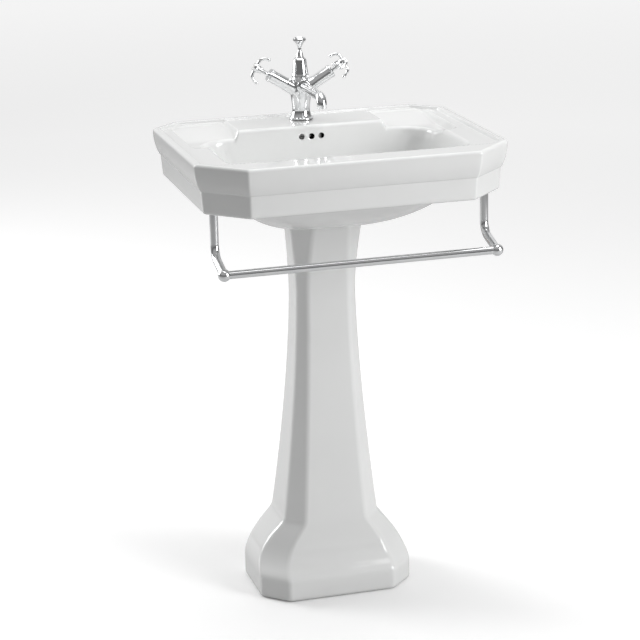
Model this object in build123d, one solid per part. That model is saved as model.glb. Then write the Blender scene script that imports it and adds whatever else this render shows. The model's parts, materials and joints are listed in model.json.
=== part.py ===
from build123d import *

import os
from math import cos, radians, sin, sqrt, tan

# Pedestal basin with a two-handled mixer tap, a pop-up waste, a bottle trap and a front towel rail.
# Millimetres, +Z up. X runs to the right as seen from the front, and Y runs back to the wall.
# The origin is on the floor, under the middle of the basin.

# Basin outline
BASIN_WIDTH = 610.0
BASIN_DEPTH = 510.0
RIM_HEIGHT = 950.0
FRONT_CORNER_CUT = 82.0
BACK_CORNER_CUT = 55.0
UPPER_BAND_HEIGHT = 52.0
UPPER_BAND_TAPER = 11.0
UPPER_BAND_CURVE = 2.5
BAND_STEP = 1.5
LOWER_BAND_HEIGHT = 44.5
LOWER_BAND_TAPER = 3.0
RIM_ROUNDING = 6.0
SKIRT_ROUNDING = 6.0
CORNER_ROUNDING = 8.0

# Basin walls and deck
SKIRT_WALL = 14.0
DECK_THICKNESS = 30.0
BORDER_WIDTH = 16.0
BORDER_HEIGHT = 6.0
PLATFORM_WIDTH = 300.0
PLATFORM_DROP = 3.0
SOAP_LEDGE_OUTER_DROP = 7.0
SOAP_LEDGE_INNER_DROP = 20.0
SOAP_LEDGE_CORNER = 22.0

# Bowl
BOWL_WIDTH = 466.0
FRONT_RIM_WIDTH = 64.0
BOWL_TO_WALL = 135.0
BOWL_DEPTH = 166.0
BOWL_CORNER = 62.0
BOWL_FLOOR_RADIUS = 38.0
BOWL_FULLNESS = 2.2
UNDERSIDE_WIDTH = 500.0
UNDERSIDE_FRONT_GAP = 22.0
UNDERSIDE_TOP_DROP = 10.0
UNDERSIDE_DEPTH = 175.0
UNDERSIDE_FLOOR_RADIUS = 36.0
UNDERSIDE_FULLNESS = 1.8
BOWL_BACK_WALL = 12.0

# Overflow
OVERFLOW_COUNT = 3
OVERFLOW_RADIUS = 5.8
OVERFLOW_SPACING = 20.0
OVERFLOW_DROP = 25.0
DUCT_WIDTH = 56.0
DUCT_GAP = 9.0
DUCT_WALL = 9.0
DUCT_TOP_DROP = 14.0

# Pedestal
PEDESTAL_WALL = 11.0
PEDESTAL_JOINT = 0.5
PEDESTAL_TOP_ROOM = 15.0
TOP_HALF_WIDTH = 73.8
TOP_CORNER_CUT = 36.8
TOP_FRONT = -6.0
TOP_BACK = 116.0
WAIST_HEIGHT = 630.0
WAIST_HALF_WIDTH = 62.0
WAIST_CORNER_CUT = 19.5
WAIST_FRONT = 22.5
WAIST_BACK = 121.0
KNEE_HEIGHT = 149.0
KNEE_HALF_WIDTH = 100.0
KNEE_CORNER_CUT = 36.0
KNEE_FRONT = 4.0
KNEE_BACK = 180.0
FOOT_HEIGHT = 50.0
FOOT_HALF_WIDTH = 160.0
FOOT_CORNER_CUT = 49.0
FOOT_FRONT = -35.5
FOOT_BACK = 197.0
FOOT_ROUNDING = 8.0
SHAFT_CORNER_ROUNDING = 5.0
BACK_RETURN = 14.0
FLOOR_LUG_WIDTH = 40.0
FLOOR_LUG_HEIGHT = 16.0
FLOOR_LUG_REACH = 46.0
FLOOR_LUG_TO_BACK = 60.0
FLOOR_SCREW_HOLE_RADIUS = 4.0
FLOOR_SCREW_SPACING = 226.0

# Holes for fixing the basin to the wall
WALL_HOLE_SPACING = 280.0
WALL_HOLE_RADIUS = 7.0
WALL_HOLE_DROP = 62.0

# Towel rail
RAIL_RADIUS = 7.6
RAIL_END_X = 265.7
RAIL_Y = -219.0
RAIL_DROP = 201.0
RAIL_BALL_RADIUS = 11.8
RAIL_SOCKET_CLEARANCE = 0.1
RAIL_SOCKET_DEPTH = 9.0
RAIL_WALL = 1.2
BRACKET_RADIUS = 8.0
BRACKET_Y = -147.0
BRACKET_BEND_RADIUS = 30.0
BRACKET_LEG_SLOPE = 15.0
BRACKET_TOP_DROP = 46.0
BRACKET_BOSS_RADIUS = 21.0
BRACKET_FLANGE_RADIUS = 12.0
BRACKET_FLANGE_THICKNESS = 4.0
BRACKET_STUD_RADIUS = 4.0
BRACKET_STUD_IN_TUBE = 20.0
BRACKET_STUD_IN_PLUG = 17.0
ANCHOR_RADIUS = 6.0
ANCHOR_LENGTH = 20.0

# Tap body
TAP_TO_WALL = 60.0
TAP_HOLE_RADIUS = 17.5
TAP_BASE_RADIUS = 24.0
TAP_WAIST_RADIUS = 17.6
TAP_WAIST_HEIGHT = 15.0
TAP_COLUMN_RADIUS = 19.6
TAP_COLUMN_HEIGHT = 38.0
TAP_HEAD_RADIUS = 20.5
TAP_HEAD_HEIGHT = 60.0
TAP_SHOULDER_RADIUS = 15.0
TAP_SHOULDER_HEIGHT = 83.0
GASKET_THICKNESS = 1.5
GASKET_INSET = 1.0

# Tap arms, each with its valve
ARM_TILT = 31.0
ARM_ORIGIN_HEIGHT = 52.0
ARM_ROOT_RADIUS = 15.5
ARM_MOUTH_RADIUS = 13.4
ARM_MOUTH = 36.0
COVER_RADIUS = 12.6
COVER_END = 76.0
COVER_WALL = 1.6
COVER_RING_RADIUS = 13.6
COVER_RING_WIDTH = 4.0
CARTRIDGE_RADIUS = 9.0
CARTRIDGE_START = 20.0
CARTRIDGE_END = 70.0
SPINDLE_RADIUS = 4.0
SPINDLE_START = 44.0
SPINDLE_CLEARANCE = 0.06
HUB_START = 92.0
HUB_RADIUS = 7.0
HUB_LENGTH = 20.0
HUB_CLEARANCE = 0.05
CLAW_COUNT = 4
CLAW_REACH = 26.0
CLAW_SWEEP = 14.0
CLAW_RADIUS = 2.9
CLAW_TIP_RADIUS = 3.6
INDEX_RADIUS = 5.6
INDEX_THICKNESS = 2.6
HANDLE_SCREW_RADIUS = 1.9
HANDLE_SCREW_LENGTH = 10.0
HANDLE_TURN_CLEARANCE = 0.6

# Spout
SPOUT_REACH = 155.0
SPOUT_ROOT_HEIGHT = 66.0
SPOUT_ROOT_REACH = 17.0
SPOUT_TOP_HEIGHT = 66.0
SPOUT_TIP_HEIGHT = 44.5
SPOUT_RADIUS = 9.6
SPOUT_BORE = 7.4
SPOUT_BEND_RADIUS = 14.0
SPOUT_RING_RADIUS = 13.2
SPOUT_RING_WIDTH = 5.0
SPOUT_COLLAR_REACH = 23.0

# Lift rod cover on top of the tap
COVER_COLLAR_RADIUS = 17.0
COVER_COLLAR_HEIGHT = 4.5
DOME_BASE_RADIUS = 15.6
DOME_TOP_RADIUS = 12.4
DOME_TOP_HEIGHT = 121.0
DOME_SHOULDER = 3.0
DOME_WALL = 1.8
CAP_BASE_RADIUS = 7.0
CAP_TOP_RADIUS = 3.6
CAP_TOP_HEIGHT = 136.5

# Pop-up control
LIFT_ROD_RADIUS = 2.2
LIFT_ROD_CLEARANCE = 0.08
LIFT_ROD_ABOVE_LEVER = 7.0
LIFT_TRAVEL = 26.0
KNOB_NECK_RADIUS = 3.4
KNOB_RADIUS = 12.8
KNOB_GAP = 0.4
KNOB_HEIGHT = 24.0
KNOB_RIM_HEIGHT = 8.0
KNOB_DISH_DEPTH = 4.5
STRAP_WIDTH = 10.0
STRAP_THICKNESS = 1.6
STRAP_ABOVE_LEVER = 65.0
STRAP_BELOW_LEVER = 19.0
STRAP_HOLE_CLEARANCE = 1.5
STRAP_CLAMP_SIZE = 10.0
STRAP_SCREW_RADIUS = 1.5

# Waste
WASTE_Y = 64.0
WASTE_HOLE_CLEARANCE = 3.5
WASTE_FLANGE_RADIUS = 32.0
WASTE_FLANGE_THICKNESS = 4.0
WASTE_MOUTH_RADIUS = 23.4
WASTE_MOUTH_DEPTH = 2.0
WASTE_TUBE_RADIUS = 19.0
WASTE_BORE = 16.0
WASTE_TAIL_LENGTH = 57.0
WASTE_SLOT_HEIGHT = 9.0
WASTE_SLOT_WIDTH = 16.0
WASTE_SEAL_THICKNESS = 1.5
WASTE_BOSS_RADIUS = 44.0
WASTE_BOSS_HEIGHT = 27.0
WASTE_WASHER_RADIUS = 30.0
WASTE_WASHER_THICKNESS = 3.0
BACK_NUT_RADIUS = 28.0
BACK_NUT_THICKNESS = 8.0
PLUG_NECK_RADIUS = 13.0
PLUG_CAP_RADIUS = 22.6
PLUG_CAP_THICKNESS = 5.0
PLUG_STEM_RADIUS = 3.5
PLUG_SEAL_RADIUS = 20.5
PLUG_SEAL_THICKNESS = 1.5
PLUG_SEAL_GAP = 0.1
PLUG_GUIDE_CLEARANCE = 0.4
PLUG_NECK_LENGTH = 6.0
PLUG_FIN_HEIGHT = 16.0
PLUG_FIN_THICKNESS = 2.0

# Pop-up lever
LEVER_DROP = 22.0
LEVER_RADIUS = 2.0
LEVER_BALL_RADIUS = 6.0
LEVER_PIVOT_REACH = 31.5
LEVER_PAST_STRAP = 12.0
LEVER_PORT_CLEARANCE = 0.6
LEVER_PORT_WALL = 2.4
LEVER_PORT_PAST_PIVOT = 4.2
LEVER_NUT_RADIUS = 12.5
LEVER_NUT_WALL = 2.5
LEVER_NUT_LENGTH = 12.0
LEVER_NUT_OPENING = 4.6
LEVER_STEM_GAP = 0.5

# Bottle trap
TRAP_TOP_NUT_RADIUS = 25.0
TRAP_TOP_NUT_HEIGHT = 20.0
TRAP_TUBE_RADIUS = 16.0
TRAP_TUBE_WALL = 2.0
TRAP_BODY_RADIUS = 25.0
TRAP_BODY_WALL = 2.5
TRAP_BODY_CROWN = 4.5
TRAP_BODY_DROP = 28.0
TRAP_BODY_HEIGHT = 80.0
TRAP_CUP_WALL = 3.4
TRAP_CUP_HEIGHT = 42.0
TRAP_CUP_BELOW_BODY = 26.0
TRAP_OUTLET_DROP = 30.0
TRAP_OUTLET_RADIUS = 16.0
TRAP_OUTLET_WALL = 1.5
TRAP_OUTLET_NECK = 0.3
TRAP_OUTLET_STUB = 16.0
TRAP_OUTLET_STUB_WALL = 3.0
TRAP_OUTLET_NUT_RADIUS = 22.0
TRAP_OUTLET_NUT_LENGTH = 18.0
TRAP_OUTLET_NUT_OVERHANG = 4.0
TRAP_INLET_GAP = 12.0

# Tap fixings and water tails
TAIL_RADIUS = 5.0
TAIL_WALL = 0.8
TAIL_OFFSET = 10.4
TAIL_SPREAD = 26.0
TAIL_BEND_DROP = 44.0
TAIL_BEND_HEIGHT = 40.0
TAIL_BEND_RADIUS = 40.0
TAIL_END_DROP = 390.0
TAIL_IN_BODY = 14.0
STUD_RADIUS = 3.0
STUD_OFFSET = 12.0
STUD_LENGTH_BELOW_DECK = 48.0
STUD_IN_BODY = 12.0
FIXING_PLATE_RADIUS = 27.0
FIXING_PLATE_THICKNESS = 4.0
FIXING_NUT_RADIUS = 5.5
FIXING_NUT_HEIGHT = 6.0
HOLE_CLEARANCE = 0.3

# Places worked out from the sizes above
WALL_Y = BASIN_DEPTH / 2
FRONT_Y = -BASIN_DEPTH / 2
STEP_HEIGHT = RIM_HEIGHT - UPPER_BAND_HEIGHT
SKIRT_HEIGHT = STEP_HEIGHT - LOWER_BAND_HEIGHT
SKIRT_INSET = UPPER_BAND_TAPER + BAND_STEP + LOWER_BAND_TAPER
DECK_UNDERSIDE = RIM_HEIGHT - DECK_THICKNESS
PLATFORM_HEIGHT = RIM_HEIGHT - PLATFORM_DROP
DECK_HEIGHT = RIM_HEIGHT - BORDER_HEIGHT
BOWL_BACK = WALL_Y - BOWL_TO_WALL
BOWL_FRONT = FRONT_Y + FRONT_RIM_WIDTH
BOWL_FLOOR = RIM_HEIGHT - BOWL_DEPTH
TAP_Y = WALL_Y - TAP_TO_WALL
TAP_SEAT = PLATFORM_HEIGHT + GASKET_THICKNESS
LEVER_PIVOT_Y = WASTE_Y + LEVER_PIVOT_REACH
LEVER_OUTER_REACH = TAP_Y - LEVER_PIVOT_Y
DUCT_FRONT = BOWL_BACK + DUCT_WALL
DUCT_BACK = DUCT_FRONT + DUCT_GAP
WASTE_HOLE_RADIUS = WASTE_TUBE_RADIUS + WASTE_HOLE_CLEARANCE
WASTE_BOSS_BOTTOM = BOWL_FLOOR - WASTE_BOSS_HEIGHT
WASTE_BOTTOM = WASTE_BOSS_BOTTOM - WASTE_TAIL_LENGTH
LEVER_HEIGHT = WASTE_BOSS_BOTTOM - LEVER_DROP
LIFT_ROD_BOTTOM = LEVER_HEIGHT + LIFT_ROD_ABOVE_LEVER
STRAP_TOP = LEVER_HEIGHT + STRAP_ABOVE_LEVER
STRAP_BOTTOM = LEVER_HEIGHT - STRAP_BELOW_LEVER
TRAP_BODY_TOP = WASTE_BOTTOM - TRAP_BODY_DROP
TRAP_BODY_BOTTOM = TRAP_BODY_TOP - TRAP_BODY_HEIGHT
TRAP_CUP_BOTTOM = TRAP_BODY_BOTTOM - TRAP_CUP_BELOW_BODY
TRAP_OUTLET_HEIGHT = TRAP_BODY_TOP - TRAP_OUTLET_DROP
TAIL_BEND_TOP = DECK_UNDERSIDE - TAIL_BEND_DROP
TAIL_BEND_BOTTOM = TAIL_BEND_TOP - TAIL_BEND_HEIGHT
TAIL_BOTTOM = RIM_HEIGHT - TAIL_END_DROP
RAIL_HEIGHT = RIM_HEIGHT - RAIL_DROP


def outline(inset, back_inset=0.0):
    """Eight-sided plan of the basin, moved in by inset at the front and sides."""
    half_width = BASIN_WIDTH / 2 - inset
    front = FRONT_Y + inset
    back = WALL_Y - back_inset
    corner_sum = BASIN_WIDTH / 2 + BASIN_DEPTH / 2 - inset * sqrt(2)
    front_sum = corner_sum - FRONT_CORNER_CUT
    back_sum = corner_sum - BACK_CORNER_CUT
    right = [
        (front_sum + front, front),
        (half_width, half_width - front_sum),
        (half_width, back_sum - half_width),
        (back_sum - back, back),
    ]
    left = [(-x, y) for x, y in reversed(right)]
    face = make_face(Polyline(*right, *left, close=True))
    return fillet(face.vertices(), CORNER_ROUNDING)


def prism(face, low, high):
    """A face in plan, made solid between two heights."""
    return extrude(Pos(0, 0, low) * face, amount=high - low)


def tapered(low_face, low, high_face, high):
    """A solid with straight sides between two plans."""
    return loft([Pos(0, 0, low) * low_face, Pos(0, 0, high) * high_face], ruled=True)


def box(x_range, y_range, z_range):
    """A box between two corners."""
    size = [high - low for low, high in (x_range, y_range, z_range)]
    middle = [(high + low) / 2 for low, high in (x_range, y_range, z_range)]
    return Pos(*middle) * Box(*size)


def rod(radius, low, high, x=0.0, y=0.0):
    """An upright round bar."""
    return Pos(x, y, (low + high) / 2) * Cylinder(radius, high - low)


def tube(radius, bore, low, high, x=0.0, y=0.0):
    """An upright round tube."""
    return rod(radius, low, high, x, y) - rod(bore, low, high, x, y)


def turned(points, x=0.0, y=0.0):
    """A solid of revolution about an upright axis, from (radius, height) points."""
    face = make_face(Polyline(*points, close=True))
    return Pos(x, y, 0) * revolve(Plane.XZ * face, axis=Axis.Z)


def hexagon(across_corners, low, high, x=0.0, y=0.0):
    """A hexagonal bar, for nuts."""
    return prism(Pos(x, y) * RegularPolygon(across_corners, 6), low, high)


def along_y(shape, x, y, z):
    """A shape modelled upright, laid down so that its top points to the wall."""
    return Pos(x, y, z) * Rot(-90, 0, 0) * shape


def both_sides(shape):
    """A shape and its mirror image across the middle plane."""
    return shape, mirror(shape, about=Plane.YZ)


def largest_to_smallest(fraction, fullness):
    """Share of the rim size that a bowl keeps at a fraction of its depth."""
    return (1 - fraction**fullness) ** (1 / fullness)


def bowl_section(half_width, front, back, floor_radius, keep, corner):
    """Rounded plan of a bowl, between its rim at keep 1 and its floor at keep 0."""
    half = floor_radius + (half_width - floor_radius) * keep
    low_y = WASTE_Y - floor_radius + (front - WASTE_Y + floor_radius) * keep
    high_y = WASTE_Y + floor_radius + (back - WASTE_Y - floor_radius) * keep
    radius = min(corner * (0.55 + 0.45 * keep), 0.96 * half, 0.48 * (high_y - low_y))
    return Pos(0, (low_y + high_y) / 2) * RectangleRounded(2 * half, high_y - low_y, radius)


def bowl_shape(half_width, front, back, floor_radius, corner, top, depth, fullness):
    """Solid of a bowl from its open top down to its flat floor."""
    fractions = (0.0, 0.3, 0.55, 0.75, 0.88, 0.96, 1.0)
    sections = []
    for fraction in fractions:
        keep = largest_to_smallest(fraction, fullness)
        face = bowl_section(half_width, front, back, floor_radius, keep, corner)
        sections.append(Pos(0, 0, top - depth * fraction) * face)
    return loft(sections)


def bowl_hollow():
    """The space that holds the water, open at the top."""
    half = BOWL_WIDTH / 2
    hollow = bowl_shape(
        half, BOWL_FRONT, BOWL_BACK, BOWL_FLOOR_RADIUS, BOWL_CORNER, RIM_HEIGHT, BOWL_DEPTH, BOWL_FULLNESS
    )
    mouth = bowl_section(half, BOWL_FRONT, BOWL_BACK, BOWL_FLOOR_RADIUS, 1.0, BOWL_CORNER)
    return hollow + prism(mouth, RIM_HEIGHT - 1, RIM_HEIGHT + 1)


def bowl_underside():
    """The dish that hangs below the skirt and meets the pedestal."""
    return bowl_shape(
        UNDERSIDE_WIDTH / 2,
        BOWL_FRONT - UNDERSIDE_FRONT_GAP,
        BOWL_BACK + BOWL_BACK_WALL,
        UNDERSIDE_FLOOR_RADIUS,
        BOWL_CORNER + BOWL_BACK_WALL,
        RIM_HEIGHT - UNDERSIDE_TOP_DROP,
        UNDERSIDE_DEPTH,
        UNDERSIDE_FULLNESS,
    )


def duct_outline(wall):
    """Side view of the overflow duct, grown by a wall."""
    low = WASTE_BOSS_BOTTOM + DUCT_WALL - wall
    knee = WASTE_BOSS_BOTTOM + DUCT_WALL + DUCT_GAP
    return [
        (WASTE_Y, low),
        (DUCT_FRONT, low),
        (DUCT_BACK + wall, knee + DUCT_GAP),
        (DUCT_BACK + wall, RIM_HEIGHT - DUCT_TOP_DROP + wall / 2),
        (DUCT_FRONT - wall, RIM_HEIGHT - DUCT_TOP_DROP + wall / 2),
        (DUCT_FRONT - wall, knee + DUCT_GAP + wall),
        (DUCT_FRONT - DUCT_GAP, knee + wall),
        (WASTE_Y, knee + wall),
    ]


def duct(wall):
    """The overflow duct behind and below the bowl: the passage at wall 0."""
    face = make_face(Polyline(*duct_outline(wall), close=True))
    width = DUCT_WIDTH + 2 * wall
    return extrude(Plane.YZ.offset(-width / 2) * face, amount=width)


def basin_block():
    """The two outer bands. The upper one curves in towards the step below it."""
    sections = []
    for share in (1.0, 0.8, 0.55, 0.3, 0.0):
        inset = UPPER_BAND_TAPER * share**UPPER_BAND_CURVE
        sections.append(Pos(0, 0, RIM_HEIGHT - UPPER_BAND_HEIGHT * share) * outline(inset))
    upper = loft(sections)
    upper = fillet(upper.edges().group_by(Axis.Z)[-1], RIM_ROUNDING)
    lower = tapered(
        outline(SKIRT_INSET), SKIRT_HEIGHT, outline(UPPER_BAND_TAPER + BAND_STEP), STEP_HEIGHT
    )
    lower = fillet(lower.edges().group_by(Axis.Z)[0], SKIRT_ROUNDING)
    return upper + lower


def deck_cuts():
    """What is taken off the top inside the raised border: the deck, the platform and the soap ledges."""
    inside = outline(BORDER_WIDTH, BORDER_WIDTH)
    behind_front_rim = box(
        (-BASIN_WIDTH / 2, BASIN_WIDTH / 2), (BOWL_FRONT, WALL_Y), (DECK_HEIGHT, RIM_HEIGHT + 1)
    )
    half_platform = PLATFORM_WIDTH / 2
    platform = box(
        (-half_platform, half_platform), (BOWL_BACK, WALL_Y), (DECK_HEIGHT - 1, PLATFORM_HEIGHT)
    )
    cuts = (prism(inside, DECK_HEIGHT, RIM_HEIGHT + 1) & behind_front_rim) - platform
    ledge_back = WALL_Y - BORDER_WIDTH - SOAP_LEDGE_CORNER / 2
    side = [
        (ledge_back, RIM_HEIGHT + 1),
        (ledge_back, RIM_HEIGHT - SOAP_LEDGE_OUTER_DROP),
        (BOWL_BACK, RIM_HEIGHT - SOAP_LEDGE_INNER_DROP),
        (BOWL_BACK - BOWL_CORNER, RIM_HEIGHT - SOAP_LEDGE_INNER_DROP),
        (BOWL_BACK - 2 * BOWL_CORNER, RIM_HEIGHT - BORDER_HEIGHT),
        (BOWL_BACK - 2 * BOWL_CORNER, RIM_HEIGHT + 1),
    ]
    ledge_outer = BASIN_WIDTH / 2 - BORDER_WIDTH - SOAP_LEDGE_CORNER
    profile = make_face(Polyline(*side, close=True))
    ledge = extrude(Plane.YZ.offset(half_platform) * profile, amount=ledge_outer - half_platform)
    upright = ledge.edges().filter_by(Axis.Z).group_by(Axis.Y)[-1]
    ledge = fillet(upright, SOAP_LEDGE_CORNER)
    for shape in both_sides(ledge):
        cuts = cuts + shape
    return cuts


def make_basin():
    """The ceramic basin: bands, hollow skirt, bowl, overflow duct and every hole."""
    body = basin_block()
    room = tapered(
        outline(SKIRT_INSET + SKIRT_WALL, SKIRT_WALL),
        SKIRT_HEIGHT - 1,
        outline(UPPER_BAND_TAPER + SKIRT_WALL, SKIRT_WALL),
        DECK_UNDERSIDE,
    )
    body = body - room
    body = body + bowl_underside()
    body = body + duct(DUCT_WALL)
    body = body + rod(WASTE_BOSS_RADIUS, WASTE_BOSS_BOTTOM, BOWL_FLOOR, y=WASTE_Y)
    for side in (-1, 1):
        body = body + rod(
            BRACKET_BOSS_RADIUS,
            RIM_HEIGHT - BRACKET_TOP_DROP,
            DECK_UNDERSIDE,
            x=side * RAIL_END_X,
            y=BRACKET_Y,
        )
    body = body - bowl_hollow()
    body = body - deck_cuts()
    body = body - duct(0.0)
    for index in range(OVERFLOW_COUNT):
        x = (index - (OVERFLOW_COUNT - 1) / 2) * OVERFLOW_SPACING
        hole = Cylinder(OVERFLOW_RADIUS, 2 * DUCT_WALL + DUCT_GAP)
        body = body - along_y(hole, x, DUCT_FRONT - DUCT_WALL / 2, RIM_HEIGHT - OVERFLOW_DROP)
    body = body - rod(WASTE_HOLE_RADIUS, WASTE_BOSS_BOTTOM - 1, BOWL_FLOOR + 1, y=WASTE_Y)
    recess = WASTE_FLANGE_THICKNESS + WASTE_SEAL_THICKNESS
    body = body - rod(WASTE_FLANGE_RADIUS + 1, BOWL_FLOOR - recess, BOWL_FLOOR + 1, y=WASTE_Y)
    body = body - rod(TAP_HOLE_RADIUS, DECK_UNDERSIDE - 1, RIM_HEIGHT, y=TAP_Y)
    for side in (-1, 1):
        wall_hole = Cylinder(WALL_HOLE_RADIUS, 3 * SKIRT_WALL)
        place = (side * WALL_HOLE_SPACING / 2, WALL_Y, RIM_HEIGHT - WALL_HOLE_DROP)
        body = body - along_y(wall_hole, *place)
        body = body - rod(
            ANCHOR_RADIUS,
            RIM_HEIGHT - BRACKET_TOP_DROP - 1,
            RIM_HEIGHT - BRACKET_TOP_DROP + ANCHOR_LENGTH + 1,
            x=side * RAIL_END_X,
            y=BRACKET_Y,
        )
    return body


def pedestal_section(half_width, cut, front, back, inset=0.0):
    """Eight-sided plan of the pedestal with softly rounded corners."""
    half = half_width - inset
    low = front + inset
    high = back - inset
    leg = cut - inset * (2 - sqrt(2))
    right = [(half - leg, low), (half, low + leg), (half, high - leg), (half - leg, high)]
    left = [(-x, y) for x, y in reversed(right)]
    face = make_face(Polyline(*right, *left, close=True))
    return fillet(face.vertices(), SHAFT_CORNER_ROUNDING)


def blend(low_sizes, high_sizes, share):
    """Sizes part of the way from one list to the other."""
    return [low + (high - low) * share for low, high in zip(low_sizes, high_sizes)]


WAIST = (WAIST_HALF_WIDTH, WAIST_CORNER_CUT, WAIST_FRONT, WAIST_BACK)
CROWN = (TOP_HALF_WIDTH, TOP_CORNER_CUT, TOP_FRONT, TOP_BACK)
KNEE = (KNEE_HALF_WIDTH, KNEE_CORNER_CUT, KNEE_FRONT, KNEE_BACK)
FOOT = (FOOT_HALF_WIDTH, FOOT_CORNER_CUT, FOOT_FRONT, FOOT_BACK)
FLARE_POWER = 1.55
CROWN_HEIGHT = WASTE_BOSS_BOTTOM + 1


def shaft(inset, extra_top):
    """The tall flared part of the pedestal, from the knee up to the basin."""
    steps = (1.0, 0.75, 0.5, 0.25)
    sections = []
    for share in steps:
        sizes = blend(WAIST, KNEE, share**FLARE_POWER)
        height = WAIST_HEIGHT + (KNEE_HEIGHT - WAIST_HEIGHT) * share
        sections.append(Pos(0, 0, height) * pedestal_section(*sizes, inset))
    sections.append(Pos(0, 0, WAIST_HEIGHT) * pedestal_section(*WAIST, inset))
    reach = (CROWN_HEIGHT + extra_top - WAIST_HEIGHT) / (CROWN_HEIGHT - WAIST_HEIGHT)
    for step in (0.35, 0.7, 1.0):
        share = step * reach
        sizes = blend(WAIST, CROWN, share**FLARE_POWER)
        height = WAIST_HEIGHT + (CROWN_HEIGHT - WAIST_HEIGHT) * share
        sections.append(Pos(0, 0, height) * pedestal_section(*sizes, inset))
    return loft(sections)


def shoulder(inset):
    """The slope from the knee out to the foot. The front stays upright longer than the sides."""
    sections = []
    for share in (0.0, 0.3, 0.55, 0.75, 0.9, 1.0):
        outward = 1 - (1 - share) ** 1.6
        forward = share**5
        half, cut, _, back = blend(KNEE, FOOT, outward)
        front = KNEE_FRONT + (FOOT_FRONT - KNEE_FRONT) * forward
        height = KNEE_HEIGHT + (FOOT_HEIGHT - KNEE_HEIGHT) * share
        sections.append(Pos(0, 0, height) * pedestal_section(half, cut, front, back, inset))
    return loft(list(reversed(sections)), ruled=True)


def make_pedestal():
    """The hollow ceramic pedestal, open at the top, the bottom and the back."""
    foot = prism(pedestal_section(*FOOT), 0, FOOT_HEIGHT)
    foot = fillet(foot.edges().group_by(Axis.Z)[0], FOOT_ROUNDING)
    body = foot + shoulder(0.0) + shaft(0.0, PEDESTAL_TOP_ROOM)
    room = shoulder(PEDESTAL_WALL) + shaft(PEDESTAL_WALL, PEDESTAL_TOP_ROOM + 1)
    room = room + prism(pedestal_section(*FOOT, PEDESTAL_WALL), -1, FOOT_HEIGHT)
    body = body - room
    slot_place = Pos(0, (WASTE_Y + WALL_Y) / 2)
    slot_depth = WALL_Y - WASTE_Y
    foot_opening = 2 * (FOOT_HALF_WIDTH - FOOT_CORNER_CUT - BACK_RETURN)
    top_opening = 2 * (WAIST_HALF_WIDTH - WAIST_CORNER_CUT)
    slot = tapered(
        slot_place * Rectangle(foot_opening, slot_depth),
        -1,
        slot_place * Rectangle(top_opening, slot_depth),
        CROWN_HEIGHT + PEDESTAL_TOP_ROOM + 2,
    )
    body = body - slot
    for side in (-1, 1):
        inner = FOOT_HALF_WIDTH - PEDESTAL_WALL - FLOOR_LUG_REACH
        outer = FOOT_HALF_WIDTH - PEDESTAL_WALL / 2
        middle = FOOT_BACK - FLOOR_LUG_TO_BACK
        lug = box(
            sorted((side * inner, side * outer)),
            (middle - FLOOR_LUG_WIDTH / 2, middle + FLOOR_LUG_WIDTH / 2),
            (0, FLOOR_LUG_HEIGHT),
        )
        body = body + lug
        body = body - rod(
            FLOOR_SCREW_HOLE_RADIUS, -1, FLOOR_LUG_HEIGHT + 1, x=side * FLOOR_SCREW_SPACING / 2, y=middle
        )
    waste_boss = rod(WASTE_BOSS_RADIUS, WASTE_BOSS_BOTTOM, BOWL_FLOOR, y=WASTE_Y)
    above = bowl_underside() + duct(DUCT_WALL) + waste_boss
    return body - Pos(0, 0, -PEDESTAL_JOINT) * above


def bracket_path():
    """Middle line of the left towel rail bracket, from under the basin to its ball."""
    top = RIM_HEIGHT - BRACKET_TOP_DROP - BRACKET_FLANGE_THICKNESS
    corner = RAIL_HEIGHT + (BRACKET_Y - RAIL_Y) * tan(radians(BRACKET_LEG_SLOPE))
    return FilletPolyline(
        (-RAIL_END_X, BRACKET_Y, top),
        (-RAIL_END_X, BRACKET_Y, corner),
        (-RAIL_END_X, RAIL_Y, RAIL_HEIGHT),
        radius=BRACKET_BEND_RADIUS,
    )


def make_left_bracket():
    """One bent bracket with its ball end and the socket that takes the rail."""
    path = bracket_path()
    bar = sweep(Plane(origin=path @ 0, z_dir=path % 0) * Circle(BRACKET_RADIUS), path=path)
    ball = Pos(-RAIL_END_X, RAIL_Y, RAIL_HEIGHT) * Rot(0, 0, -90) * Sphere(RAIL_BALL_RADIUS)
    socket_radius = RAIL_RADIUS + RAIL_SOCKET_CLEARANCE
    socket_length = RAIL_BALL_RADIUS + RAIL_SOCKET_DEPTH
    socket = Pos(
        -RAIL_END_X + RAIL_BALL_RADIUS - RAIL_SOCKET_DEPTH + socket_length / 2, RAIL_Y, RAIL_HEIGHT
    ) * Rot(0, 90, 0) * Cylinder(socket_radius, socket_length)
    top = RIM_HEIGHT - BRACKET_TOP_DROP - BRACKET_FLANGE_THICKNESS
    stud_hole = rod(BRACKET_STUD_RADIUS, top - BRACKET_STUD_IN_TUBE, top, x=-RAIL_END_X, y=BRACKET_Y)
    return bar + ball - socket - stud_hole


def make_rail():
    """The straight towel bar between the two balls."""
    half = RAIL_END_X - RAIL_BALL_RADIUS + RAIL_SOCKET_DEPTH - RAIL_SOCKET_CLEARANCE
    bar = Cylinder(RAIL_RADIUS, 2 * half) - Cylinder(RAIL_RADIUS - RAIL_WALL, 2 * half)
    return Pos(0, RAIL_Y, RAIL_HEIGHT) * Rot(0, 90, 0) * bar


def make_bracket_flange():
    """The cover ring between a bracket and the boss above it."""
    top = RIM_HEIGHT - BRACKET_TOP_DROP
    low = top - BRACKET_FLANGE_THICKNESS
    ring = tube(BRACKET_FLANGE_RADIUS, BRACKET_STUD_RADIUS, low, top, x=-RAIL_END_X, y=BRACKET_Y)
    return chamfer(ring.edges().group_by(Axis.Z)[0].sort_by(SortBy.RADIUS)[-1:], 1.0)


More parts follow.
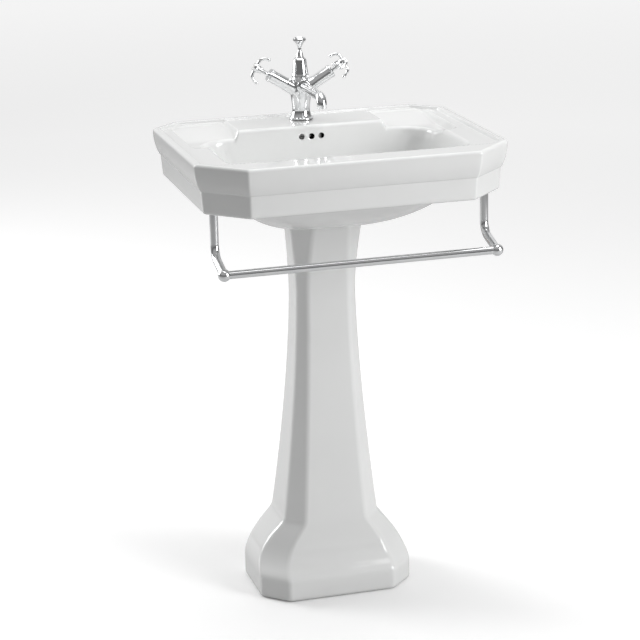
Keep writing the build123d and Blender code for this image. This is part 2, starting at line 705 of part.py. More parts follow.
def make_bracket_stud():
    """The screwed rod that holds a bracket up in its anchor."""
    top = RIM_HEIGHT - BRACKET_TOP_DROP
    low = top - BRACKET_FLANGE_THICKNESS - BRACKET_STUD_IN_TUBE
    return rod(BRACKET_STUD_RADIUS, low, top + BRACKET_STUD_IN_PLUG, x=-RAIL_END_X, y=BRACKET_Y)


def make_bracket_anchor():
    """The plug in the ceramic that the stud screws into."""
    low = RIM_HEIGHT - BRACKET_TOP_DROP
    body = rod(ANCHOR_RADIUS, low, low + ANCHOR_LENGTH, x=-RAIL_END_X, y=BRACKET_Y)
    return body - rod(BRACKET_STUD_RADIUS, low, low + BRACKET_STUD_IN_PLUG, x=-RAIL_END_X, y=BRACKET_Y)


def arm_place(side):
    """Frame of one tap arm: local Z runs out along the valve's axis."""
    tilt = radians(ARM_TILT)
    return Plane(
        origin=(0, TAP_Y, RIM_HEIGHT + ARM_ORIGIN_HEIGHT),
        x_dir=(0, 1, 0),
        z_dir=(side * cos(tilt), 0, sin(tilt)),
    ).location


def on_arm(side, shape):
    """Places a shape that was modelled along Z on one arm."""
    return arm_place(side) * shape


def tap_passages():
    """The holes through the bottom of the tap body, for the tails, the studs and the lift rod."""
    low = TAP_SEAT - 1
    holes = rod(LIFT_ROD_RADIUS + LIFT_ROD_CLEARANCE, low, RIM_HEIGHT + TAP_SHOULDER_HEIGHT + 1, y=TAP_Y)
    for side in (-1, 1):
        holes = holes + rod(TAIL_RADIUS, low, TAP_SEAT + TAIL_IN_BODY, x=side * TAIL_OFFSET, y=TAP_Y)
        holes = holes + rod(STUD_RADIUS, low, TAP_SEAT + STUD_IN_BODY, y=TAP_Y + side * STUD_OFFSET)
    return holes


def make_tap_body():
    """The cast column with its wide base, round head and the two sloping arms."""
    base = TAP_SEAT
    rim = RIM_HEIGHT
    side = Spline(
        (TAP_BASE_RADIUS - 2.5, base + 4.0),
        (TAP_WAIST_RADIUS, rim + TAP_WAIST_HEIGHT),
        (TAP_COLUMN_RADIUS, rim + TAP_COLUMN_HEIGHT),
        (TAP_HEAD_RADIUS, rim + TAP_HEAD_HEIGHT),
        (TAP_SHOULDER_RADIUS, rim + TAP_SHOULDER_HEIGHT),
    )
    edge = Polyline(
        (TAP_SHOULDER_RADIUS, rim + TAP_SHOULDER_HEIGHT),
        (0, rim + TAP_SHOULDER_HEIGHT),
        (0, base),
        (TAP_BASE_RADIUS, base),
        (TAP_BASE_RADIUS, base + 2.5),
        (TAP_BASE_RADIUS - 2.5, base + 4.0),
    )
    face = make_face(side + edge)
    body = Pos(0, TAP_Y, 0) * revolve(Plane.XZ * face, axis=Axis.Z)
    for way in (-1, 1):
        stub = Pos(0, 0, ARM_MOUTH / 2) * Cone(ARM_ROOT_RADIUS, ARM_MOUTH_RADIUS, ARM_MOUTH)
        body = body + on_arm(way, stub)
    for way in (-1, 1):
        depth = ARM_MOUTH - CARTRIDGE_START
        seat = Pos(0, 0, CARTRIDGE_START + depth / 2) * Cylinder(CARTRIDGE_RADIUS, depth)
        body = body - on_arm(way, seat)
    spout_hole = Cylinder(SPOUT_BORE, 2 * SPOUT_ROOT_REACH)
    reach = SPOUT_ROOT_REACH + SPOUT_ROOT_REACH / 2
    body = body - along_y(spout_hole, 0, TAP_Y - reach, rim + SPOUT_ROOT_HEIGHT)
    return body - tap_passages()


def make_valve_cover(side):
    """The round cover that hides one valve, with a stepped ring at its outer end."""
    length = COVER_END - ARM_MOUTH
    body = Pos(0, 0, ARM_MOUTH + length / 2) * Cylinder(COVER_RADIUS, length)
    ring_middle = COVER_END - COVER_RING_WIDTH / 2 - 2
    ring = Pos(0, 0, ring_middle) * Cylinder(COVER_RING_RADIUS, COVER_RING_WIDTH)
    ring = fillet(ring.edges(), 1.2)
    hollow = Pos(0, 0, ARM_MOUTH + (length - COVER_WALL) / 2) * Cylinder(
        COVER_RADIUS - COVER_WALL, length - COVER_WALL
    )
    hole = Pos(0, 0, COVER_END) * Cylinder(SPINDLE_RADIUS + HANDLE_TURN_CLEARANCE, 4 * COVER_WALL)
    return on_arm(side, body + ring - hollow - hole)


def make_cartridge(side):
    """The brass valve in one arm, with the bore that its spindle turns in."""
    length = CARTRIDGE_END - CARTRIDGE_START
    body = Pos(0, 0, CARTRIDGE_START + length / 2) * Cylinder(CARTRIDGE_RADIUS, length)
    flange = prism(RegularPolygon(COVER_RADIUS - COVER_WALL - 0.6, 6), ARM_MOUTH, ARM_MOUTH + 8)
    bore_radius = SPINDLE_RADIUS + SPINDLE_CLEARANCE
    bore_length = CARTRIDGE_END - SPINDLE_START + SPINDLE_CLEARANCE
    bore = Pos(0, 0, CARTRIDGE_END - bore_length / 2) * Cylinder(bore_radius, bore_length)
    return on_arm(side, body + flange - bore)


def make_spindle(side):
    """The rod that carries one handle and turns in its valve."""
    end = HUB_START + HUB_LENGTH - INDEX_THICKNESS - 6
    length = end - SPINDLE_START
    body = Pos(0, 0, SPINDLE_START + length / 2) * Cylinder(SPINDLE_RADIUS, length)
    middle = end - HANDLE_SCREW_LENGTH / 2 + 1
    screw_hole = Pos(0, 0, middle) * Cylinder(HANDLE_SCREW_RADIUS, HANDLE_SCREW_LENGTH)
    return on_arm(side, body - screw_hole)


def claw():
    """One curved arm of a cross handle: it leaves the hub, bends out and comes back towards the tap."""
    start = HUB_START + HUB_LENGTH * 0.62
    path = Spline(
        (HUB_RADIUS * 0.6, 0, start),
        (CLAW_REACH * 0.62, 0, start + 1.5),
        (CLAW_REACH, 0, start - CLAW_SWEEP),
        tangents=((1, 0, 0.35), (0.15, 0, -1)),
    )
    arm = sweep(Plane(origin=path @ 0, z_dir=path % 0) * Circle(CLAW_RADIUS), path=path)
    tip = Pos(CLAW_REACH, 0, start - CLAW_SWEEP) * Sphere(CLAW_TIP_RADIUS)
    return arm + tip


def make_handle(side):
    """One cross handle: a hub with four claws, bored for the spindle, the screw and the index button."""
    end = HUB_START + HUB_LENGTH
    hub = turned(
        [
            (0, HUB_START),
            (HUB_RADIUS - 1.6, HUB_START),
            (HUB_RADIUS, HUB_START + 2),
            (HUB_RADIUS - 0.8, HUB_START + 5),
            (HUB_RADIUS + 1.6, HUB_START + 10),
            (HUB_RADIUS + 1.6, HUB_START + 15),
            (HUB_RADIUS, end),
            (0, end),
        ]
    )
    for index in range(CLAW_COUNT):
        hub = hub + Rot(0, 0, index * 360 / CLAW_COUNT) * claw()
    spindle_end = end - INDEX_THICKNESS - 6
    bore_length = spindle_end - HUB_START
    bore = Pos(0, 0, HUB_START + bore_length / 2) * Cylinder(SPINDLE_RADIUS + HUB_CLEARANCE, bore_length)
    screw_way = Pos(0, 0, spindle_end + 2) * Cylinder(HANDLE_SCREW_RADIUS + 0.2, 6)
    head_room = Pos(0, 0, end - INDEX_THICKNESS - 2) * Cylinder(INDEX_RADIUS, 4 + 2 * HUB_CLEARANCE)
    button_room = Pos(0, 0, end - INDEX_THICKNESS / 2) * Cylinder(INDEX_RADIUS, INDEX_THICKNESS)
    return on_arm(side, hub - bore - screw_way - head_room - button_room)


def make_handle_screw(side):
    """The screw under the index button that holds a handle on its spindle."""
    spindle_end = HUB_START + HUB_LENGTH - INDEX_THICKNESS - 6
    low = spindle_end - HANDLE_SCREW_LENGTH + 6
    shank = rod(HANDLE_SCREW_RADIUS, low, spindle_end + 2)
    head = rod(INDEX_RADIUS - 1.2, spindle_end + 2, spindle_end + 4.5)
    slot = Pos(0, 0, spindle_end + 4.5) * Box(12, 1.0, 2.0)
    return on_arm(side, shank + head - slot)


def make_index(side):
    """The plain round button in the end of a handle."""
    end = HUB_START + HUB_LENGTH
    body = turned(
        [
            (0, end - INDEX_THICKNESS),
            (INDEX_RADIUS, end - INDEX_THICKNESS),
            (INDEX_RADIUS, end - 0.4),
            (INDEX_RADIUS * 0.6, end + 0.8),
            (0, end + 1.2),
        ]
    )
    return on_arm(side, body)


def spout_path():
    """Middle line of the spout, from the tap out over the bowl and down to its tip."""
    root = RIM_HEIGHT + SPOUT_ROOT_HEIGHT
    return FilletPolyline(
        (0, TAP_Y - SPOUT_COLLAR_REACH, root),
        (0, TAP_Y - SPOUT_REACH, RIM_HEIGHT + SPOUT_TOP_HEIGHT),
        (0, TAP_Y - SPOUT_REACH, RIM_HEIGHT + SPOUT_TIP_HEIGHT),
        radius=SPOUT_BEND_RADIUS,
    )


def make_spout():
    """The bent spout tube."""
    path = spout_path()
    start = Plane(origin=path @ 0, z_dir=path % 0)
    outside = sweep(start * Circle(SPOUT_RADIUS), path=path)
    inside = sweep(start * Circle(SPOUT_BORE), path=path)
    return outside - inside


def make_spout_ring():
    """The screwed ring that joins the spout to the tap body."""
    length = SPOUT_COLLAR_REACH - SPOUT_ROOT_REACH
    ring = Cylinder(SPOUT_RING_RADIUS, length + 3) - Cylinder(SPOUT_BORE, length + 3)
    ring = fillet(ring.edges().filter_by(GeomType.CIRCLE).sort_by(SortBy.RADIUS)[-2:], 1.2)
    middle = TAP_Y - (SPOUT_COLLAR_REACH + SPOUT_ROOT_REACH) / 2
    return along_y(ring, 0, middle, RIM_HEIGHT + SPOUT_ROOT_HEIGHT) - make_tap_body() - make_spout()


def make_dome():
    """The round cover over the middle of the tap."""
    low = RIM_HEIGHT + TAP_SHOULDER_HEIGHT
    high = RIM_HEIGHT + DOME_TOP_HEIGHT
    collar = low + COVER_COLLAR_HEIGHT
    outside = [
        (0, low),
        (COVER_COLLAR_RADIUS, low),
        (COVER_COLLAR_RADIUS, collar - 1),
        (DOME_BASE_RADIUS + 0.5, collar + 0.5),
        (DOME_BASE_RADIUS, collar + 3),
        (DOME_TOP_RADIUS, high - DOME_SHOULDER),
        (DOME_TOP_RADIUS - DOME_SHOULDER, high),
        (0, high),
    ]
    inside = [
        (0, low - 1),
        (DOME_BASE_RADIUS - DOME_WALL, low - 1),
        (DOME_BASE_RADIUS - DOME_WALL, collar),
        (DOME_TOP_RADIUS - DOME_WALL, high - DOME_SHOULDER - DOME_WALL),
        (0, high - DOME_SHOULDER - DOME_WALL),
    ]
    hole = rod(LIFT_ROD_RADIUS + LIFT_ROD_CLEARANCE, low, high + 1, y=TAP_Y)
    return turned(outside, y=TAP_Y) - turned(inside, y=TAP_Y) - hole


def make_dome_cap():
    """The small pointed cap on the dome that guides the lift rod."""
    low = RIM_HEIGHT + DOME_TOP_HEIGHT
    high = RIM_HEIGHT + CAP_TOP_HEIGHT
    outside = [
        (0, low),
        (CAP_BASE_RADIUS + 1, low),
        (CAP_BASE_RADIUS + 1, low + 1.5),
        (CAP_BASE_RADIUS, low + 3.5),
        (CAP_TOP_RADIUS + 1.4, high - 4),
        (CAP_TOP_RADIUS, high),
        (0, high),
    ]
    hole = rod(LIFT_ROD_RADIUS + LIFT_ROD_CLEARANCE, low - 1, high + 1, y=TAP_Y)
    return turned(outside, y=TAP_Y) - hole


def make_lift_knob():
    """The flared knob on the lift rod, dished on top."""
    low = RIM_HEIGHT + CAP_TOP_HEIGHT + KNOB_GAP
    high = low + KNOB_HEIGHT
    rim_low = high - KNOB_RIM_HEIGHT
    outside = [
        (0, low),
        (KNOB_NECK_RADIUS, low),
        (KNOB_NECK_RADIUS, low + 4),
        (KNOB_NECK_RADIUS + 3, rim_low - 4),
        (KNOB_RADIUS - 3, rim_low),
        (KNOB_RADIUS, rim_low + 3),
        (KNOB_RADIUS, high - 2),
        (KNOB_RADIUS - 1.8, high),
        (KNOB_RADIUS - 4, high - 2),
        (0, high - KNOB_DISH_DEPTH),
    ]
    hole = rod(LIFT_ROD_RADIUS, low - 1, low + KNOB_HEIGHT / 2, y=TAP_Y)
    return turned(outside, y=TAP_Y) - hole


def make_lift_rod():
    """The thin rod from the knob down through the tap to the strap."""
    top = RIM_HEIGHT + CAP_TOP_HEIGHT + KNOB_GAP + KNOB_HEIGHT / 2
    return rod(LIFT_ROD_RADIUS, LIFT_ROD_BOTTOM, top, y=TAP_Y)


def make_strap():
    """The flat strap that hangs from the lift rod and takes the lever through a hole."""
    front = TAP_Y - STRAP_THICKNESS / 2
    back = TAP_Y + STRAP_THICKNESS / 2
    half = STRAP_WIDTH / 2
    offset = LIFT_ROD_RADIUS + half
    strip = box((offset - half, offset + half), (front, back), (STRAP_BOTTOM, STRAP_TOP))
    foot = box((-half, offset + half), (front, back), (STRAP_BOTTOM, LIFT_ROD_BOTTOM - 0.3))
    hole = Cylinder(LEVER_RADIUS + STRAP_HOLE_CLEARANCE, 4 * STRAP_THICKNESS)
    return strip + foot - along_y(hole, 0, TAP_Y, LEVER_HEIGHT)


def make_strap_clamp():
    """The block and screw place that grip the strap to the lift rod."""
    half = STRAP_CLAMP_SIZE / 2
    middle = STRAP_TOP - half - 4
    offset = LIFT_ROD_RADIUS + STRAP_WIDTH / 2
    block = box(
        (-half, offset + half), (TAP_Y - half, TAP_Y + half), (middle - half, middle + half)
    )
    block = block - rod(LIFT_ROD_RADIUS, middle - half - 1, middle + half + 1, y=TAP_Y)
    slot = box(
        (0, LIFT_ROD_RADIUS + STRAP_WIDTH),
        (TAP_Y - STRAP_THICKNESS / 2, TAP_Y + STRAP_THICKNESS / 2),
        (middle - half - 1, middle + half + 1),
    )
    screw_hole = Cylinder(STRAP_SCREW_RADIUS, 2 * half)
    return block - slot - Pos(-half, TAP_Y, middle) * Rot(0, 90, 0) * screw_hole


def make_strap_screw():
    """The thumb screw in the strap's clamp."""
    half = STRAP_CLAMP_SIZE / 2
    middle = STRAP_TOP - half - 4
    inner = half - LIFT_ROD_RADIUS
    shank = Pos(-half + inner / 2, TAP_Y, middle) * Rot(0, 90, 0) * Cylinder(STRAP_SCREW_RADIUS, inner)
    head = Pos(-half - 2, TAP_Y, middle) * Rot(0, 90, 0) * Cylinder(STRAP_SCREW_RADIUS * 2.6, 4)
    return shank + head


def make_lever():
    """The pop-up lever with its pivot ball, from the plug's stem back through the strap."""
    front = WASTE_Y - PLUG_STEM_RADIUS
    back = TAP_Y + LEVER_PAST_STRAP
    length = back - front
    bar = along_y(Cylinder(LEVER_RADIUS, length), 0, front + length / 2, LEVER_HEIGHT)
    ball = Pos(0, LEVER_PIVOT_Y, LEVER_HEIGHT) * Sphere(LEVER_BALL_RADIUS)
    return bar + ball


def lever_port(radius, front, back):
    """A round bar along the lever's middle line."""
    return along_y(Cylinder(radius, back - front), 0, (front + back) / 2, LEVER_HEIGHT)


def make_waste():
    """The flanged waste body: slotted for the overflow, with a side port for the lever."""
    top = BOWL_FLOOR
    flange = WASTE_FLANGE_THICKNESS
    outside = [
        (0, WASTE_BOTTOM),
        (WASTE_TUBE_RADIUS, WASTE_BOTTOM),
        (WASTE_TUBE_RADIUS, top - flange),
        (WASTE_FLANGE_RADIUS, top - flange),
        (WASTE_FLANGE_RADIUS, top - 1.5),
        (WASTE_FLANGE_RADIUS - 3, top),
        (0, top),
    ]
    body = turned(outside, y=WASTE_Y)
    port_radius = LEVER_BALL_RADIUS + LEVER_PORT_CLEARANCE
    port_end = LEVER_PIVOT_Y + LEVER_PORT_PAST_PIVOT
    body = body + lever_port(port_radius + LEVER_PORT_WALL, WASTE_Y + WASTE_BORE, port_end)
    body = body - rod(WASTE_BORE, WASTE_BOTTOM - 1, top + 1, y=WASTE_Y)
    body = body - rod(WASTE_MOUTH_RADIUS, top - WASTE_MOUTH_DEPTH, top + 1, y=WASTE_Y)
    body = body - lever_port(port_radius, WASTE_Y, port_end + 1)
    slot_middle = WASTE_BOSS_BOTTOM + DUCT_WALL + DUCT_GAP / 2
    for slot in (
        Box(2 * WASTE_TUBE_RADIUS + 2, WASTE_SLOT_WIDTH, WASTE_SLOT_HEIGHT),
        Box(WASTE_SLOT_WIDTH, 2 * WASTE_TUBE_RADIUS + 2, WASTE_SLOT_HEIGHT),
    ):
        body = body - Pos(0, WASTE_Y, slot_middle) * slot
    return body


def plug_underside():
    """Height of the underside of the plug's cap when the plug is up."""
    seated = BOWL_FLOOR - WASTE_MOUTH_DEPTH + PLUG_SEAL_THICKNESS + PLUG_SEAL_GAP
    return seated + LIFT_TRAVEL * LEVER_PIVOT_REACH / LEVER_OUTER_REACH


def make_plug():
    """The pop-up plug: a domed cap, a neck with guide fins and a round-ended stem over the lever."""
    low = plug_underside()
    stem_low = LEVER_HEIGHT + LEVER_RADIUS + LEVER_STEM_GAP
    cap = turned(
        [
            (0, low),
            (PLUG_CAP_RADIUS - 1, low),
            (PLUG_CAP_RADIUS, low + 1),
            (PLUG_CAP_RADIUS - 0.6, low + 2.2),
            (PLUG_CAP_RADIUS * 0.6, low + PLUG_CAP_THICKNESS - 0.8),
            (0, low + PLUG_CAP_THICKNESS),
        ],
        y=WASTE_Y,
    )
    neck = rod(PLUG_NECK_RADIUS, low - PLUG_NECK_LENGTH, low, y=WASTE_Y)
    tip_height = stem_low + PLUG_STEM_RADIUS
    stem = rod(PLUG_STEM_RADIUS, tip_height, low, y=WASTE_Y)
    stem = stem + Pos(0, WASTE_Y, tip_height) * Sphere(PLUG_STEM_RADIUS)
    fin_radius = WASTE_BORE - PLUG_GUIDE_CLEARANCE
    middle = low - PLUG_NECK_LENGTH - PLUG_FIN_HEIGHT / 2
    fins = Pos(0, 0, middle) * (
        Rot(0, 0, 45) * Box(2 * fin_radius, PLUG_FIN_THICKNESS, PLUG_FIN_HEIGHT)
        + Rot(0, 0, -45) * Box(2 * fin_radius, PLUG_FIN_THICKNESS, PLUG_FIN_HEIGHT)
    )
    fins = Pos(0, WASTE_Y, 0) * (fins & rod(fin_radius, stem_low, low))
    return cap + neck + stem + fins


def make_plug_seal():
    """The soft ring under the plug's cap."""
    low = plug_underside() - PLUG_SEAL_THICKNESS
    return tube(PLUG_SEAL_RADIUS, PLUG_NECK_RADIUS, low, low + PLUG_SEAL_THICKNESS, y=WASTE_Y)


def make_waste_seal():
    """The soft ring between the waste's flange and the ceramic."""
    high = BOWL_FLOOR - WASTE_FLANGE_THICKNESS
    return tube(WASTE_FLANGE_RADIUS - 1, WASTE_TUBE_RADIUS, high - WASTE_SEAL_THICKNESS, high, y=WASTE_Y)


def make_waste_washer():
    """The thick soft washer under the basin."""
    high = WASTE_BOSS_BOTTOM
    return tube(WASTE_WASHER_RADIUS, WASTE_TUBE_RADIUS, high - WASTE_WASHER_THICKNESS, high, y=WASTE_Y)


def make_back_nut():
    """The large nut that clamps the waste to the basin."""
    high = WASTE_BOSS_BOTTOM - WASTE_WASHER_THICKNESS
    nut = hexagon(BACK_NUT_RADIUS, high - BACK_NUT_THICKNESS, high, y=WASTE_Y)
    return nut - rod(WASTE_TUBE_RADIUS, high - BACK_NUT_THICKNESS - 1, high + 1, y=WASTE_Y)


def make_lever_nut():
    """The cap nut that keeps the lever's ball in the waste's side port."""
    port_radius = LEVER_BALL_RADIUS + LEVER_PORT_CLEARANCE
    thread = port_radius + LEVER_PORT_WALL
    back = LEVER_PIVOT_Y + LEVER_PORT_PAST_PIVOT + LEVER_NUT_WALL
    nut = lever_port(LEVER_NUT_RADIUS, back - LEVER_NUT_LENGTH, back)
    nut = nut - lever_port(thread, back - LEVER_NUT_LENGTH - 1, back - LEVER_NUT_WALL)
    return nut - lever_port(LEVER_NUT_OPENING, back - LEVER_NUT_WALL - 1, back + 1)


def make_lever_seal():
    """The soft seat ring in front of the lever's ball."""
    port_radius = LEVER_BALL_RADIUS + LEVER_PORT_CLEARANCE
    back = LEVER_PIVOT_Y - LEVER_BALL_RADIUS * 0.55
    seal = lever_port(port_radius, back - 3, back) - lever_port(LEVER_RADIUS + 2.4, back - 4, back + 1)
    return seal - Pos(0, LEVER_PIVOT_Y, LEVER_HEIGHT) * Sphere(LEVER_BALL_RADIUS + 0.08)


def make_trap_tube():
    """The tube that carries the water from the waste down into the bottle."""
    high = WASTE_BOTTOM - 1
    low = TRAP_BODY_BOTTOM + TRAP_INLET_GAP
    flange = tube(WASTE_TUBE_RADIUS, TRAP_TUBE_RADIUS - TRAP_TUBE_WALL, high - 3, high, y=WASTE_Y)
    return tube(TRAP_TUBE_RADIUS, TRAP_TUBE_RADIUS - TRAP_TUBE_WALL, low, high, y=WASTE_Y) + flange


def make_trap_nut():
    """The nut that screws the trap onto the waste."""
    high = WASTE_BOTTOM + TRAP_TOP_NUT_HEIGHT / 2
    low = WASTE_BOTTOM - TRAP_TOP_NUT_HEIGHT / 2
    thread_end = WASTE_BOTTOM - 4
    nut = rod(TRAP_TOP_NUT_RADIUS, low, high, y=WASTE_Y)
    nut = fillet(nut.edges(), 1.5)
    nut = nut - rod(WASTE_TUBE_RADIUS, thread_end, high + 1, y=WASTE_Y)
    return nut - rod(TRAP_TUBE_RADIUS, low - 1, thread_end + 1, y=WASTE_Y)


def make_trap_body():
    """The bottle's upper part, closed on top, with its outlet stub to the wall."""
    shell = rod(TRAP_BODY_RADIUS, TRAP_BODY_BOTTOM, TRAP_BODY_TOP, y=WASTE_Y)
    shell = fillet(shell.edges().group_by(Axis.Z)[-1], 6)
    stub_end = WASTE_Y + TRAP_BODY_RADIUS + TRAP_OUTLET_STUB
    middle = (WASTE_Y + stub_end) / 2
    stub = Cylinder(TRAP_OUTLET_RADIUS + TRAP_OUTLET_STUB_WALL, stub_end - WASTE_Y)
    shell = shell + along_y(stub, 0, middle, TRAP_OUTLET_HEIGHT)
    ceiling = TRAP_BODY_TOP - TRAP_BODY_CROWN
    shell = shell - rod(TRAP_BODY_RADIUS - TRAP_BODY_WALL, TRAP_BODY_BOTTOM - 1, ceiling, y=WASTE_Y)
    shell = shell - rod(TRAP_TUBE_RADIUS, TRAP_BODY_BOTTOM, TRAP_BODY_TOP + 1, y=WASTE_Y)
    bore = Cylinder(TRAP_OUTLET_RADIUS, stub_end - WASTE_Y + 2)
    return shell - along_y(bore, 0, middle + 1, TRAP_OUTLET_HEIGHT)


def make_trap_cup():
    """The cup that unscrews from the bottom of the bottle for cleaning."""
    top = TRAP_CUP_BOTTOM + TRAP_CUP_HEIGHT
    cup = rod(TRAP_BODY_RADIUS + TRAP_CUP_WALL, TRAP_CUP_BOTTOM, top, y=WASTE_Y)
    cup = fillet(cup.edges().group_by(Axis.Z)[0], 9)
    cup = fillet(cup.edges().group_by(Axis.Z)[-1], 1.5)
    inner = rod(TRAP_BODY_RADIUS, TRAP_CUP_BOTTOM + TRAP_CUP_WALL, top + 1, y=WASTE_Y)
    inner = fillet(inner.edges().group_by(Axis.Z)[0], 6)
    return cup - inner


def make_outlet_pipe():
    """The pipe from the bottle back to the wall, a little thinner where its seal and nut grip it."""
    front = WASTE_Y + TRAP_BODY_RADIUS + 2
    shoulder_y = WASTE_Y + TRAP_BODY_RADIUS + TRAP_OUTLET_STUB + TRAP_OUTLET_NUT_OVERHANG + 1
    neck = Cylinder(TRAP_OUTLET_RADIUS - TRAP_OUTLET_NECK, shoulder_y - front)
    run = Cylinder(TRAP_OUTLET_RADIUS, WALL_Y - shoulder_y)
    bore = Cylinder(TRAP_OUTLET_RADIUS - TRAP_OUTLET_WALL, 2 * (WALL_Y - front))
    pipe = along_y(neck, 0, (front + shoulder_y) / 2, TRAP_OUTLET_HEIGHT)
    pipe = pipe + along_y(run, 0, (shoulder_y + WALL_Y) / 2, TRAP_OUTLET_HEIGHT)
    return pipe - along_y(bore, 0, WALL_Y, TRAP_OUTLET_HEIGHT)


def make_outlet_nut():
    """The nut that grips the outlet pipe on the bottle's stub."""
    stub_end = WASTE_Y + TRAP_BODY_RADIUS + TRAP_OUTLET_STUB
    back = stub_end + TRAP_OUTLET_NUT_OVERHANG
    front = back - TRAP_OUTLET_NUT_LENGTH
    nut = Cylinder(TRAP_OUTLET_NUT_RADIUS, TRAP_OUTLET_NUT_LENGTH)
    nut = fillet(nut.edges(), 1.5)
    nut = along_y(nut, 0, (front + back) / 2, TRAP_OUTLET_HEIGHT)
    thread_length = stub_end - front + 1
    thread = Cylinder(TRAP_OUTLET_RADIUS + TRAP_OUTLET_STUB_WALL, thread_length)
    thread = along_y(thread, 0, stub_end - thread_length / 2, TRAP_OUTLET_HEIGHT)
    grip = Cylinder(TRAP_OUTLET_RADIUS - TRAP_OUTLET_NECK, 3 * TRAP_OUTLET_NUT_LENGTH)
    return nut - thread - along_y(grip, 0, back, TRAP_OUTLET_HEIGHT)


def tail_path(side):
    """Middle line of one water tail: down from the tap, then out and down behind the pedestal."""
    return FilletPolyline(
        (side * TAIL_OFFSET, TAP_Y, TAP_SEAT + TAIL_IN_BODY),
        (side * TAIL_OFFSET, TAP_Y, TAIL_BEND_TOP),
        (side * TAIL_SPREAD, TAP_Y, TAIL_BEND_BOTTOM),
        (side * TAIL_SPREAD, TAP_Y, TAIL_BOTTOM),
        radius=TAIL_BEND_RADIUS,
    )


def make_tail(side):
    """One copper water tail, from the tap body down behind the pedestal."""
    path = tail_path(side)
    start = Plane(origin=path @ 0, z_dir=path % 0)
    outside = sweep(start * Circle(TAIL_RADIUS), path=path)
    inside = sweep(start * Circle(TAIL_RADIUS - TAIL_WALL), path=path)
    return outside - inside


def make_gasket():
    """The soft ring between the tap and the basin."""
    ring = rod(TAP_BASE_RADIUS - GASKET_INSET, PLATFORM_HEIGHT, TAP_SEAT, y=TAP_Y)
    return ring - rod(TAP_HOLE_RADIUS, PLATFORM_HEIGHT - 1, TAP_SEAT + 1, y=TAP_Y)


def make_tap_studs():
    """The two screwed rods that pull the tap down onto the basin."""
    low = DECK_UNDERSIDE - STUD_LENGTH_BELOW_DECK
    front = rod(STUD_RADIUS, low, TAP_SEAT + STUD_IN_BODY, y=TAP_Y - STUD_OFFSET)
    back = rod(STUD_RADIUS, low, TAP_SEAT + STUD_IN_BODY, y=TAP_Y + STUD_OFFSET)
    return Compound(children=[front, back])


def make_fixing_plate(high, radius):
    """A plate under the deck, with holes for the studs, the tails and the lift rod."""
    low = high - FIXING_PLATE_THICKNESS
    plate = rod(radius, low, high, y=TAP_Y)
    for side in (-1, 1):
        plate = plate - rod(STUD_RADIUS + HOLE_CLEARANCE, low - 1, high + 1, y=TAP_Y + side * STUD_OFFSET)
        plate = plate - rod(TAIL_RADIUS + HOLE_CLEARANCE, low - 1, high + 1, x=side * TAIL_OFFSET, y=TAP_Y)
    return plate - rod(LIFT_ROD_RADIUS + 3 * HOLE_CLEARANCE, low - 1, high + 1, y=TAP_Y)


def make_fixing_nuts():
    """The nuts under the steel plate."""
    high = DECK_UNDERSIDE - 2 * FIXING_PLATE_THICKNESS
    nuts = []
    for side in (-1, 1):
        y = TAP_Y + side * STUD_OFFSET
        nut = hexagon(FIXING_NUT_RADIUS, high - FIXING_NUT_HEIGHT, high, y=y)
        nuts.append(nut - rod(STUD_RADIUS, high - FIXING_NUT_HEIGHT - 1, high + 1, y=y))
    return Compound(children=nuts)


def pair(shape):
    """Two identical fasteners, one on each side, as separate solids."""
    return Compound(children=list(both_sides(shape)))


def build_parts():
    """Every piece by its name."""
    left_bracket, right_bracket = both_sides(make_left_bracket())
    parts = {
        "basin": make_basin(),
        "pedestal": make_pedestal(),
        "towel_rail": make_rail(),
        "left_rail_bracket": left_bracket,
        "right_rail_bracket": right_bracket,
        "rail_flanges": pair(make_bracket_flange()),
        "rail_studs": pair(make_bracket_stud()),
        "rail_anchors": pair(make_bracket_anchor()),
        "tap_body": make_tap_body(),
        "tap_gasket": make_gasket(),
        "tap_studs": make_tap_studs(),
        "tap_backing_washer": make_fixing_plate(DECK_UNDERSIDE, FIXING_PLATE_RADIUS),
        "tap_fixing_plate": make_fixing_plate(
            DECK_UNDERSIDE - FIXING_PLATE_THICKNESS, FIXING_PLATE_RADIUS - 2
        ),
        "tap_fixing_nuts": make_fixing_nuts(),
        "hot_tail": make_tail(-1),
        "cold_tail": make_tail(1),
        "spout": make_spout(),
        "spout_ring": make_spout_ring(),
        "tap_dome": make_dome(),
        "dome_cap": make_dome_cap(),
        "lift_knob": make_lift_knob(),
        "lift_rod": make_lift_rod(),
        "lift_strap": make_strap(),
        "strap_clamp": make_strap_clamp(),
        "strap_screw": make_strap_screw(),
        "pop_up_lever": make_lever(),
        "lever_nut": make_lever_nut(),
        "lever_seal": make_lever_seal(),
        "waste_body": make_waste(),
        "waste_plug": make_plug(),
        "plug_seal": make_plug_seal(),
        "waste_seal": make_waste_seal(),
        "waste_washer": make_waste_washer(),
        "waste_back_nut": make_back_nut(),
        "trap_tube": make_trap_tube(),
        "trap_top_nut": make_trap_nut(),
        "trap_body": make_trap_body(),
        "trap_cup": make_trap_cup(),
        "trap_outlet_pipe": make_outlet_pipe(),
        "trap_outlet_nut": make_outlet_nut(),
    }
    for name, side in (("hot", -1), ("cold", 1)):
        parts[name + "_valve_cover"] = make_valve_cover(side)
        parts[name + "_cartridge"] = make_cartridge(side)
        parts[name + "_spindle"] = make_spindle(side)
        parts[name + "_handle"] = make_handle(side)
        parts[name + "_handle_screw"] = make_handle_screw(side)
        parts[name + "_index_button"] = make_index(side)
    return parts


os.makedirs("parts", exist_ok=True)
for part_name, part_shape in build_parts().items():
    export_step(part_shape, os.path.join("parts", part_name + ".step"))
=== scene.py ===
import json
from math import cos, pi, radians, sin, sqrt, tan

import bmesh
import bpy
import numpy as np
from mathutils import Matrix, Vector
from mathutils.bvhtree import BVHTree


